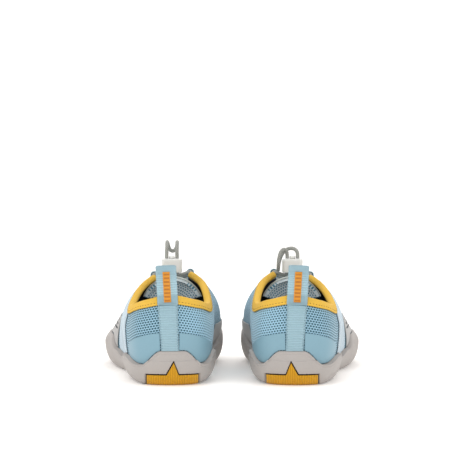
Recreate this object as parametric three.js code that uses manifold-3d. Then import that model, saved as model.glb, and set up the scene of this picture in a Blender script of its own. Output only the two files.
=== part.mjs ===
// A pair of low water shoes: mesh upper, bound collar, cup sole, elastic lace and cord lock.
// Millimetres, +Z up, heels towards -Y. Each shoe is built in its own frame: heel at y = 0,
// toe at +Y, little-toe side at +X, ground at z = 0. The left shoe is the mirrored one. The pair's
// origin is on the ground at the middle of its footprint.
import * as THREE from 'three';
import { mergeVertices } from 'three/addons/utils/BufferGeometryUtils.js';
import Module from 'manifold-3d';

const wasm = await Module();
wasm.setup();

// Driving dimensions
const shoeLength = 256;
const ballWidth = 100.5; // widest outsole width across the ball of the foot
const heelWidth = 72.8; // widest outsole width at the heel
const heelSpacing = ballWidth - 4.5; // between the two heel centres
const toeOut = 2; // each shoe turns outwards, degrees
const upperRise = 1; // scales every height of the upper above the sole floor
const soleFloor = 8; // sole thickness under the board
const wallPeak = 20; // height where the sole wall is widest
const footprintInset = 10.5; // how far the tread edge lies inside the widest outline
const wallAtPeak = 4;
const wallAtTop = 2.2;
const upperWall = 1.8;
const stiffenerWall = 0.9;
const liningWall = 2.2;
const panelWall = 0.9;
const panelLift = 1.6; // from the sole's edge to the panels above it
const strapWall = 1.4;
const clearance = 0.35; // between neighbouring pieces
const boardThickness = 1.5;
const insoleThickness = 4.5;
const insertHalf = 20.7;
const insertBar = 8.4;
const insertPeak = 18.2;
const insertPeakHalf = 4.7;
const insertDepth = 3;
const insertShift = -1.9; // the insert sits towards the inner side
const insertLean = -0.9; // and its peak leans the same way
const insertCut = 32; // how far the insert's pocket is cut in from behind the heel
const strapHalf = 7.5;
const strapLift = 1.2; // from the sole's edge, and from the binding, to the strap's ends
const tabHalf = 8;
const tabWall = 1.3;
const tabHeight = 22.7; // free height of the pull tab above its sewn end
const tabGap = 5.2; // finger gap inside the tab
const bindingDrop = 6;
const bindingWall = 1.1;
const tongueWall = 3.5;
const laceDiameter = 3;
const laceSides = 8;
const lockWidth = 17;
const lockDepth = 10;
const lockHeight = 11.5;
const strandHalf = 4.3; // half the distance between the two lace strands in the lock
const buttonRadius = 2.4;
const buttonHeadRadius = 2.5;
const buttonRise = 2.6;
const springRadius = 1.7;
const springWire = 0.5;

// Stations round the foot: heel centre, then the outer side to the toe and back on the inner
// side: heel corner, heel side, waist, rear and front of the ball, toe corner, toe.
const stationCount = 14;
const heelStations = [0, 1, 2, 12, 13];
// Places are written for the nominal size and stretched to the driving dimensions.
const nominal = { length: 256, ballHalf: 50.25, heelHalf: 36.4 };
const lengthwise = (y) => (y / nominal.length) * shoeLength;
const widthwise = (x) => (x / nominal.ballHalf) * (ballWidth / 2);
const heelwise = (x) => (x / nominal.heelHalf) * (heelWidth / 2);
const risen = (z) => soleFloor + (z - soleFloor) * upperRise;
const spot = (x, y, z) => new THREE.Vector3(widthwise(x), lengthwise(y), risen(z));
const ring = (points) => points.map(([x, y, z], k) => new THREE.Vector3(
  heelStations.includes(k) ? heelwise(x) : widthwise(x), lengthwise(y), risen(z)));
const widestRing = ring([[0, 0, 20], [25, 9, 20], [36.4, 45, 20], [39.5, 95, 20], [51, 140, 20],
  [54.5, 182, 20], [40, 235, 20], [-3, 256, 20], [-33, 244, 20], [-44.5, 214, 20],
  [-46.5, 178, 20], [-33, 100, 20], [-36.4, 45, 20], [-25, 9, 20]]);
const shoulderRing = ring([[0, 3, 46], [24.6, 11.5, 46], [34.5, 48, 43], [37, 92, 45],
  [40, 138, 43], [39, 176, 40], [28, 219, 35], [-4, 235, 33], [-25, 225, 35], [-38, 198, 42],
  [-43, 152, 47], [-37, 98, 50], [-34.5, 48, 45], [-24.6, 11.5, 46]]);
const instepRing = ring([[0, 6, 60], [23.7, 13.6, 56], [33.3, 48, 50], [31, 90, 60],
  [29, 118, 65], [27, 150, 57], [19, 188, 50], [-4, 202, 47.5], [-19, 192, 50], [-30, 164, 58],
  [-33, 124, 68], [-33, 93, 65], [-33.3, 48, 51.5], [-23.7, 13.6, 56]]);
const rimRing = ring([[0, 9, 69.2], [20, 15, 64.8], [31, 48, 59], [24, 86, 71], [12.6, 104, 79],
  [10.5, 135, 69], [8, 158, 60], [-3, 168, 57], [-13.5, 158, 60], [-15, 135, 69.5],
  [-17.4, 104, 81.5], [-27, 86, 75], [-31, 48, 60.5], [-20, 15, 65.2]]);
const samples = 42; // round the shoe
const stationU = (k) => k / stationCount;
const stationOf = (u) => { // counted from the heel centre on both sides
  const station = wrap(u) * stationCount;
  return Math.min(station, stationCount - station);
};

const closedCurve = (points) => new THREE.CatmullRomCurve3(points, true, 'centripetal');
const widest = closedCurve(widestRing);
const shoulder = closedCurve(shoulderRing);
const instep = closedCurve(instepRing);
const rim = closedCurve(rimRing);
const upperRows = [0, 1 / 12, 1 / 6, 1 / 4, 3 / 8, 1 / 2, 5 / 8, 4 / 5, 1];
const wrap = (u) => ((u % 1) + 1) % 1;

// Outward direction in plan at the widest outline
function planNormal(u) {
  const ahead = widest.getPoint(wrap(u + 0.004));
  const behind = widest.getPoint(wrap(u - 0.004));
  const along = ahead.sub(behind);
  return new THREE.Vector3(along.y, -along.x, 0).normalize().multiplyScalar(turn);
}
const turn = Math.sign(widest.getPoint(0.01).x); // +1 when the stations run anticlockwise

const meridianCache = new Map();
function meridian(u) {
  const key = wrap(u).toFixed(6);
  if (!meridianCache.has(key)) {
    const at = wrap(u);
    const wide = widest.getPoint(at);
    const inwards = planNormal(at);
    const peak = wide.clone().addScaledVector(inwards, -wallAtPeak);
    const foot = wide.clone().addScaledVector(inwards, -wallAtPeak * 2);
    foot.z = soleFloor + clearance;
    meridianCache.set(key, new THREE.CatmullRomCurve3(
      [foot, peak, shoulder.getPoint(at), instep.getPoint(at), rim.getPoint(at)],
      false, 'centripetal'));
  }
  return meridianCache.get(key);
}
const surface = (u, v) => meridian(u).getPoint(Math.min(1, Math.max(0, v)));
function surfaceNormal(u, v) {
  const step = 0.004;
  const across = surface(u + step, v).sub(surface(u - step, v));
  const low = Math.max(0, Math.min(1 - step, v - step / 2));
  const up = surface(u, low + step).sub(surface(u, low));
  return across.cross(up).normalize();
}
const offset = (u, v, d) => surface(u, v).addScaledVector(surfaceNormal(u, v), d);
function heightV(u, z) { // the v at which the surface reaches height z
  let low = 0;
  let high = 1;
  for (let i = 0; i < 22; i += 1) {
    const middle = (low + high) / 2;
    if (surface(u, middle).z < z) low = middle;
    else high = middle;
  }
  return (low + high) / 2;
}
function heelU(x, z) { // the u near the heel at which the surface reaches a sideways place
  const side = Math.sign(x) || 1;
  let low = 0;
  let high = stationU(1.9);
  for (let i = 0; i < 20; i += 1) {
    const middle = (low + high) / 2;
    const u = side * middle;
    if (Math.abs(surface(u, heightV(u, z)).x) < Math.abs(x)) low = middle;
    else high = middle;
  }
  return (side * (low + high)) / 2;
}

// Meshes
function finish(positions, faces) {
  let geometry = new THREE.BufferGeometry();
  geometry.setAttribute('position', new THREE.Float32BufferAttribute(positions, 3));
  geometry.setIndex(faces);
  geometry = mergeVertices(geometry, 1e-3);
  const index = geometry.index.array;
  const kept = [];
  for (let i = 0; i < index.length; i += 3) {
    const [a, b, c] = [index[i], index[i + 1], index[i + 2]];
    if (a !== b && b !== c && c !== a) kept.push(a, b, c);
  }
  if (volume(geometry, kept) < 0) kept.reverse();
  geometry.setIndex(kept);
  return geometry;
}
function volume(geometry, faces) {
  const place = geometry.attributes.position;
  const point = (i) => new THREE.Vector3().fromBufferAttribute(place, i);
  let sum = 0;
  for (let i = 0; i < faces.length; i += 3) {
    sum += point(faces[i]).dot(point(faces[i + 1]).cross(point(faces[i + 2])));
  }
  return sum;
}
// A solid swept from closed sections with the same number of points each; an open one ends in
// the faces listed in cap, or in strips between its two long sides
function loft(sections, closed, cap) {
  const positions = sections.flat().flatMap((p) => [p.x, p.y, p.z]);
  const size = sections[0].length;
  const faces = [];
  const last = closed ? sections.length : sections.length - 1;
  for (let i = 0; i < last; i += 1) {
    const a = i * size;
    const b = ((i + 1) % sections.length) * size;
    for (let j = 0; j < size; j += 1) {
      const k = (j + 1) % size;
      faces.push(a + j, b + j, b + k, a + j, b + k, a + k);
    }
  }
  if (!closed) {
    const end = (sections.length - 1) * size;
    const strips = Array.from({ length: size / 2 - 1 }, (_, j) => {
      const k = size - 1 - j;
      return [[j, j + 1, k], [j + 1, k - 1, k]];
    }).flat();
    for (const [a, b, c] of cap || strips) faces.push(a, b, c, end + a, end + c, end + b);
  }
  return finish(positions, faces);
}
// A thin shell over part of the surface, between two distances from it, which may depend on u
const distanceAt = (distance, u) => (typeof distance === 'function' ? distance(u) : distance);
function shell({ us, from, to, shares, near, far, closed = false }) {
  const sections = us.map((u) => {
    const low = from(u);
    const high = to(u);
    const steps = shares.map((share) => low + (high - low) * share);
    return [...steps.map((v) => offset(u, v, distanceAt(far, u))),
      ...steps.reverse().map((v) => offset(u, v, distanceAt(near, u)))];
  });
  return loft(sections, closed);
}
const range = (from, to, count) => Array.from({ length: count + 1 },
  (_, i) => from + ((to - from) * i) / count);
const ease = (t) => t * t * (3 - 2 * t);
function eased(table, at) { // smooth steps between [place, value] pairs
  if (at <= table[0][0]) return table[0][1];
  for (let i = 1; i < table.length; i += 1) {
    const [x1, y1] = table[i];
    const [x0, y0] = table[i - 1];
    if (at <= x1) return y0 + (y1 - y0) * ease((at - x0) / (x1 - x0));
  }
  return table[table.length - 1][1];
}

// Outsole: a cup whose top edge rises at the heel and at the ball and drops between them.
// Edge heights run along the stations from the heel, outer side first.
const edgeOut = [[0, 27.4], [0.36, 27.4], [0.88, 16.5], [1.08, 16.5], [1.9, 20.5], [2.4, 20.5],
  [3.1, 14], [3.5, 18], [4.0, 27.5], [5.3, 28], [6.2, 25], [7, 27]];
const edgeIn = [[0, 27.4], [0.5, 27.4], [1.02, 17], [1.22, 17], [1.9, 24], [2.4, 24],
  [3.0, 15], [3.5, 19], [3.9, 28], [4.9, 28.5], [6, 25], [7, 27]];
function edgeHeight(u) {
  return risen(eased(wrap(u) < 0.5 ? edgeOut : edgeIn, stationOf(u)));
}
function wallPoint(u, z) { // outer face of the sole wall
  if (z <= wallPeak) {
    const drop = (wallPeak - z) / wallPeak;
    const inset = footprintInset * (1 - Math.sqrt(Math.max(0, 1 - drop * drop)));
    const point = widest.getPoint(wrap(u)).addScaledVector(planNormal(u), -inset);
    point.z = z;
    return point;
  }
  const share = Math.min(1, (z - wallPeak) / 8);
  return offset(u, heightV(u, z), wallAtPeak + (wallAtTop - wallAtPeak) * share);
}
const spineX = (y) => -4 * ease(Math.min(1, y / shoeLength));
function spinePoint(i, z) {
  const u = i / samples;
  const near = widest.getPoint(wrap(u));
  const across = widest.getPoint(wrap(1 - u));
  const y = Math.min(shoeLength - 16, Math.max(16, (near.y + across.y) / 2));
  return new THREE.Vector3(spineX(y), y, z);
}
function soleSection(i) {
  const u = i / samples;
  const top = edgeHeight(u);
  const outer = [0, 2, 6, 12, 20].filter((z) => z < top - 2).map((z) => wallPoint(u, z));
  while (outer.length < 5) outer.push(wallPoint(u, top - 1.5));
  outer.push(wallPoint(u, top - 0.4));
  const topV = heightV(u, top);
  const lip = offset(u, topV, clearance);
  const inner = upperRows.slice(0, 4).reverse()
    .map((v, k) => offset(u, Math.min(v, topV * (0.97 - 0.02 * k)), clearance));
  const floorEdge = surface(u, 0).addScaledVector(planNormal(u), clearance);
  floorEdge.z = soleFloor;
  return [spinePoint(i, 0), ...outer, lip, ...inner, floorEdge, spinePoint(i, soleFloor)];
}
function soleBlank() {
  const sections = Array.from({ length: samples }, (_, i) => soleSection(i));
  const size = sections[0].length;
  const positions = sections.flat().flatMap((p) => [p.x, p.y, p.z]);
  const faces = [];
  for (let i = 0; i < samples; i += 1) {
    const a = i * size;
    const b = ((i + 1) % samples) * size;
    for (let j = 0; j < size - 1; j += 1) {
      faces.push(a + j, b + j, b + j + 1, a + j, b + j + 1, a + j + 1);
    }
  }
  return finish(positions, faces);
}

// Joining and cutting
function solid(geometry) {
  const bare = geometry.clone();
  bare.deleteAttribute('normal');
  bare.deleteAttribute('uv');
  const merged = mergeVertices(bare, 1e-4);
  return new wasm.Manifold(new wasm.Mesh({
    numProp: 3,
    vertProperties: new Float32Array(merged.attributes.position.array),
    triVerts: new Uint32Array(merged.index.array),
  }));
}
function geometryOf(body) {
  const mesh = body.getMesh();
  const geometry = new THREE.BufferGeometry();
  geometry.setAttribute('position', new THREE.BufferAttribute(mesh.vertProperties, 3));
  geometry.setIndex(new THREE.BufferAttribute(mesh.triVerts, 1));
  return geometry;
}
const moved = (geometry, x, y, z) => geometry.clone().translate(x, y, z);
function prism(outline, depth, front) { // outline in x and z, pushed along y
  const shape = new THREE.Shape(outline.map(([x, z]) => new THREE.Vector2(x, z)));
  const geometry = new THREE.ExtrudeGeometry(shape, { depth, bevelEnabled: false });
  return geometry.rotateX(Math.PI / 2).translate(0, front + depth, 0);
}
const insertOutline = (grow) => {
  const side = insertHalf + grow;
  const barTop = insertBar + grow;
  const foot = insertPeakHalf + grow * 0.6;
  return [[-side - 0.4, -2], [side + 0.4, -2], [side - 1, barTop], [foot, barTop],
    [insertLean, insertPeak + grow * 2], [-foot, barTop], [-side + 1, barTop]]
    .map(([x, z]) => [x + insertShift, z]);
};

// Round bars along a route
function bar(points, diameter, sides, steps) {
  const path = new THREE.CatmullRomCurve3(points, false, 'centripetal');
  const shape = new THREE.Shape(range(0, sides - 1, sides - 1).map((i) => new THREE.Vector2(
    (diameter / 2) * Math.cos((2 * Math.PI * i) / sides),
    (diameter / 2) * Math.sin((2 * Math.PI * i) / sides))));
  return new THREE.ExtrudeGeometry(shape, { steps, extrudePath: path, bevelEnabled: false });
}
const at = (x, y, z) => new THREE.Vector3(x, y, z);

const colours = {
  rubber: [0xb4aeaa, 0.75], insert: [0xf0b21c, 0.6], board: [0xe8e4da, 0.9],
  insole: [0x2b3f50, 0.9], mesh: [0x8fbdd3, 0.85], stiffener: [0xd8d8d4, 0.7],
  lining: [0x24323f, 0.9], binding: [0xf2be2e, 0.8], film: [0x8db6c4, 0.5],
  webbing: [0x9fc4cf, 0.8], marking: [0xe0901a, 0.6], ribbed: [0xc6d8e0, 0.6],
  overlay: [0xa9a8a6, 0.6], tongueTape: [0xd7d9cf, 0.8], lace: [0xa4a6a0, 0.7],
  lock: [0xe6e6e2, 0.35], steel: [0xb8babd, 0.3],
};
const material = (name) => new THREE.MeshStandardMaterial({
  color: colours[name][0], roughness: colours[name][1], metalness: name === 'steel' ? 1 : 0,
});

// Bodies of the shoe that are the same on both feet
const us = Array.from({ length: samples }, (_, i) => i / samples);
const arc = (from, to) => { // samples between two stations, which may run through the heel
  const count = Math.max(2, Math.round(((to - from) * samples) / stationCount));
  return range(stationU(from), stationU(to), count);
};
const edgeV = (u, extra = 0) => heightV(u, edgeHeight(u) + extra);
const insideWall = upperWall + clearance * 1.4;
// The padding is thickest round the heel, behind the stiffener, and thins towards the sides
const liningNear = (u) => eased([[1.75, insideWall + stiffenerWall + clearance * 1.6],
  [2.3, insideWall + clearance]], stationOf(u));
const liningFar = (u) => liningNear(u) + eased([[1.75, liningWall], [2.3, liningWall * 0.75]],
  stationOf(u));
const liningEnd = 3; // stations from the heel to where the collar padding ends
const collarEnd = 4; // stations from the heel to the top of the throat
const insoleTop = soleFloor + clearance * 2 + boardThickness + insoleThickness;

function plate(inset, bottom, thickness) {
  const outline = us.map((u) => surface(u, 0).addScaledVector(planNormal(u), -inset));
  const shape = new THREE.Shape(outline.map((p) => new THREE.Vector2(p.x, p.y)));
  const geometry = new THREE.ExtrudeGeometry(shape, { depth: thickness, bevelEnabled: false });
  return geometry.translate(0, 0, bottom);
}
function collarBinding() { // a channel open downwards over the rim
  const sections = arc(-collarEnd, collarEnd).map((u) => {
    const bare = eased([[liningEnd, 0], [liningEnd + 0.6, 1]], stationOf(u));
    const depth = liningFar(u) * (1 - bare) + upperWall * bare + clearance;
    const low = heightV(u, surface(u, 1).z - bindingDrop);
    const rise = surface(u, 1).sub(surface(u, 0.985)).normalize();
    const lift = (d, h) => offset(u, 1, d).addScaledVector(rise, h);
    const far = clearance + bindingWall;
    return [offset(u, low, clearance), lift(clearance, clearance), lift(-depth, clearance),
      offset(u, low, -depth), offset(u, low, -depth - bindingWall),
      lift(-depth - bindingWall, clearance + bindingWall), lift(far, clearance + bindingWall),
      offset(u, low, far)];
  });
  return loft(sections, false, [[0, 1, 7], [1, 6, 7], [1, 2, 6], [2, 5, 6], [2, 3, 5], [3, 4, 5]]);
}
function counterPanel(side) {
  const first = Math.abs(heelU((strapHalf + 1.3) * side, risen(34)));
  const list = range(first, stationU(1.72), 8).map((u) => u * side);
  const top = (u) => risen(41.5 - 14 * Math.pow(Math.abs(u) / stationU(1.85), 2));
  return shell({
    us: list, shares: range(0, 1, 3), near: clearance, far: clearance + panelWall,
    from: (u) => edgeV(u, panelLift), to: (u) => heightV(u, top(u)),
  });
}
// The strap and the pull tab lean outwards as they rise
const heelLean = 3.3 / 65;
const leanX = (z) => (z - 27) * heelLean;
function heelBand(half, bottom, top, rows, near, far) { // a strip up the middle of the heel
  const sections = range(-1, 1, 4).map((share) => {
    const heights = range(bottom, top, rows);
    const point = (z, d) => {
      const u = heelU(share * half + leanX(z), z);
      return offset(u, heightV(u, z), d);
    };
    return [...heights.map((z) => point(z, far)), ...heights.reverse().map((z) => point(z, near))];
  });
  return loft(sections, false);
}
function sidePanel(from, to, high) {
  return shell({
    us: arc(from, to), shares: range(0, 1, 4), near: clearance * 1.6,
    far: clearance * 1.6 + panelWall, from: (u) => edgeV(u, panelLift), to: high,
  });
}
const belowBinding = (u) => heightV(u, surface(u, 1).z - bindingDrop - 0.8);

// Tongue: an arched sheet under the throat, from the ankle down to the vamp
const throatX = -2.4;
const tongueRadius = widthwise(26);
const tongueLine = new THREE.CatmullRomCurve3([spot(throatX, 100, 79), spot(throatX, 118, 75),
  spot(throatX, 135, 68.8), spot(throatX - 0.4, 156, 60), spot(throatX - 0.6, 172, 52)], false,
  'centripetal');
const tongueReach = (b) => THREE.MathUtils.degToRad(70 - 38 * b);
// The pad under the tongue is deepest just in front of its top edge
const tonguePad = (b) => eased([[0.03, tongueWall], [0.22, 15], [0.45, 11], [0.8, tongueWall]], b);
function tonguePoint(a, b, depth) {
  const centre = tongueLine.getPoint(b);
  const along = tongueLine.getTangent(b);
  const up = new THREE.Vector3(0, -along.z, along.y).normalize();
  const angle = a * tongueReach(b);
  const radius = tongueRadius - depth;
  return centre.add(at(radius * Math.sin(angle), 0, 0))
    .addScaledVector(up, radius * Math.cos(angle) - tongueRadius);
}
function tongueSolid(from, to, rows, near, far) {
  return loft(range(-1, 1, 10).map((a) => {
    const bs = range(from, to, rows);
    const rounding = (b) => b + 0.035 * a * a * (1 - b); // the top edge is rounded
    return [...bs.map((b) => tonguePoint(a, rounding(b), near)),
      ...bs.reverse().map((b) => tonguePoint(a, rounding(b), distanceAt(far, b)))];
  }), false);
}

// Pull tab: a folded webbing loop, outer face at y = 0, base at z = 0
function tabLoop() {
  const wide = tabGap + tabWall * 2;
  const bend = tabHeight - wide / 2;
  const shape = new THREE.Shape();
  shape.moveTo(0, 0);
  shape.lineTo(0, bend);
  shape.absarc(wide / 2, bend, wide / 2, Math.PI, 0, true);
  shape.quadraticCurveTo(wide, 5.5, tabWall + 1, 2.6);
  shape.lineTo(tabWall, 1.4);
  shape.lineTo(tabWall, 0);
  shape.closePath();
  const gap = new THREE.Path();
  gap.moveTo(tabWall, 4);
  gap.quadraticCurveTo(wide - tabWall, 6.5, wide - tabWall, bend);
  gap.absarc(wide / 2, bend, tabGap / 2, 0, Math.PI);
  gap.lineTo(tabWall, 4);
  shape.holes.push(gap);
  const geometry = new THREE.ExtrudeGeometry(shape,
    { depth: tabHalf * 2, bevelEnabled: false, curveSegments: 6 });
  return geometry.translate(0, 0, -tabHalf).applyMatrix4(new THREE.Matrix4().set(
    0, 0, 1, 0, 1, 0, 0, 0, 0, 1, 0, 0, 0, 0, 0, 1));
}
function ladderStrip(width, height, thickness, steps) {
  const outline = [];
  const rung = height / steps;
  for (let i = 0; i < steps; i += 1) {
    outline.push([width / 2, rung * i], [width / 2, rung * (i + 0.78)],
      [width / 2 - 0.7, rung * (i + 0.78)], [width / 2 - 0.7, rung * (i + 1)]);
  }
  const mirrored = outline.map(([x, z]) => [-x, z]).reverse();
  return prism([...outline, ...mirrored], thickness, 0);
}

// Cord lock: strands run up through it beside a sprung button
const lockX = -2;
const lockY = lengthwise(109);
const lockBottom = risen(81.5);
const lockTop = lockBottom + lockHeight;
const boreRadius = laceDiameter / 2 + 0.5;
const buttonBore = buttonRadius + clearance;
const buttonSeat = 3;
const springLength = 4.6;
const buttonBottom = lockBottom + buttonSeat + springLength;
function lockBody() {
  const [w, d, r] = [lockWidth / 2, lockDepth / 2, 3.4];
  const shape = new THREE.Shape();
  shape.moveTo(-w + r, -d);
  shape.lineTo(w - r, -d);
  shape.absarc(w - r, -d + r, r, -Math.PI / 2, 0);
  shape.lineTo(w, d - r);
  shape.absarc(w - r, d - r, r, 0, Math.PI / 2);
  shape.lineTo(-w + r, d);
  shape.absarc(-w + r, d - r, r, Math.PI / 2, Math.PI);
  shape.lineTo(-w, -d + r);
  shape.absarc(-w + r, -d + r, r, Math.PI, Math.PI * 1.5);
  const blank = new THREE.ExtrudeGeometry(shape, {
    depth: lockHeight - 2, bevelThickness: 1, bevelSize: 1, bevelOffset: -1, bevelSegments: 1,
    curveSegments: 3,
  }).translate(0, 0, 1);
  let body = solid(blank);
  for (const side of [-1, 1]) {
    const bore = new THREE.CylinderGeometry(boreRadius, boreRadius, lockHeight + 4, 10);
    body = body.subtract(solid(bore.rotateX(Math.PI / 2)
      .translate(side * strandHalf, 0, lockHeight / 2)));
  }
  const well = new THREE.CylinderGeometry(buttonBore, buttonBore, lockHeight, 12);
  return geometryOf(body.subtract(solid(well.rotateX(Math.PI / 2)
    .translate(0, 0, buttonSeat + lockHeight / 2))));
}
function lockButton() { // profile from the seat up to the domed head
  const top = lockTop + buttonRise - buttonBottom;
  const r = buttonRadius;
  const profile = [[0, 0], [r, 0], [r, 1.5], [r - 0.4, 2.2], [r - 0.4, lockTop - buttonBottom],
    [buttonHeadRadius, lockTop - buttonBottom + 0.6], [buttonHeadRadius, top - 0.9],
    [buttonHeadRadius - 0.8, top - 0.15], [0, top]];
  return new THREE.LatheGeometry(profile.map(([x, z]) => new THREE.Vector2(x, z)), 14)
    .rotateX(Math.PI / 2);
}
function lockSpring() {
  const [turns, perTurn] = [4, 8];
  const rise = springLength - 2 * clearance - springWire;
  const points = range(0, turns * perTurn, turns * perTurn).map((i) => {
    const angle = (2 * Math.PI * i) / perTurn;
    return at(springRadius * Math.cos(angle), springRadius * Math.sin(angle),
      (rise * i) / (turns * perTurn));
  });
  return bar(points, springWire, 4, points.length - 1);
}

// Elastic lace: from the lock down each side of the throat, crossing once, and back
const guideRows = [[120, 78.6, 80.6], [142, 71, 72.2]] // y, outer side z, inner side z
  .map(([y, out, inn]) => [lengthwise(y), risen(out), risen(inn)]);
const guideX = [[12.6, -17.4], [10.8, -15.6]].map((pairX) => pairX.map(widthwise));
const guideRoom = 0.9; // the lace slides through the guides
const guideSlope = THREE.MathUtils.degToRad(22);
function laceRoute() {
  const strandX = (side) => lockX + side * strandHalf;
  const pass = (row, side, step) => {
    const [y, out, inn] = guideRows[row];
    const z = side > 0 ? out : inn;
    return at(guideX[row][side > 0 ? 0 : 1], y + step, z - step * Math.tan(guideSlope));
  };
  const down = (side, cross) => [at(strandX(side), lockY, lockTop),
    at(strandX(side), lockY, lockBottom + 6), at(strandX(side), lockY, lockBottom + 0.4),
    at(strandX(side) + side * 1.2, lockY + 1.6, lockBottom - 2),
    pass(0, side, -2.4), pass(0, side, 2.4), spot(throatX, 131, cross),
    pass(1, -side, -2.4), pass(1, -side, 2.4)];
  return [...down(1, 77.4), spot(throatX, 153.5, 67.4), ...down(-1, 73.8).reverse()];
}
function laceGuide(row, side) {
  const inner = laceDiameter / 2 + guideRoom;
  const outer = inner + 0.8;
  const foot = -2.1;
  const shape = new THREE.Shape();
  shape.moveTo(outer, foot);
  shape.lineTo(outer, 0);
  shape.absarc(0, 0, outer, 0, Math.PI);
  shape.lineTo(-outer, foot);
  shape.lineTo(-inner, foot);
  shape.lineTo(-inner, 0);
  shape.absarc(0, 0, inner, Math.PI, 0, true);
  shape.lineTo(inner, foot);
  const length = 3.4;
  const geometry = new THREE.ExtrudeGeometry(shape,
    { depth: length, bevelEnabled: false, curveSegments: 5 });
  const [y, out, inn] = guideRows[row];
  return geometry.rotateX(Math.PI / 2).translate(0, length / 2, 0).rotateX(-guideSlope)
    .translate(guideX[row][side > 0 ? 0 : 1], y, side > 0 ? out : inn);
}
// The free loop above the lock; its shape differs between the feet
const loopStart = clearance; // above the lock
const loopRoutes = { // from the lock's place, at its top
  left: [[2.3, 0, loopStart], [2.3, 0, 3], [2.2, 0.1, 6], [2, 1.4, 9.6], [1.9, 5.2, 13],
    [1.6, 10.2, 13.3], [0.9, 14.6, 10.4], [-0.6, 16.6, 6.6], [-2.9, 17.2, 5.6],
    [-5, 16.4, 6.8], [-6.4, 14.2, 10.4], [-6.6, 10, 13.2], [-6.4, 5.1, 13],
    [-6.3, 1.3, 9.6], [-6.2, 0.1, 6], [-6.3, 0, 3], [-6.3, 0, loopStart]],
  right: [[2.3, 0, loopStart], [2.3, 0, 2.6], [2, 0.6, 5.2], [0.2, 2.6, 7.6], [-3, 5, 8.4],
    [-7.4, 6.4, 7], [-11, 6.8, 2.6], [-12.8, 7, -2.5], [-13.4, 6.4, -5.6], [-13.6, 4, -8.4],
    [-13.7, 0.6, -9.2], [-13.6, -3, -7.6], [-13.5, -5.1, -4], [-13, -5.2, 0.5],
    [-11.4, -4.2, 6], [-8.8, -2.2, 7.8], [-6.8, -0.4, 5.6], [-6.3, 0, 2.6],
    [-6.3, 0, loopStart]],
};

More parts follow.
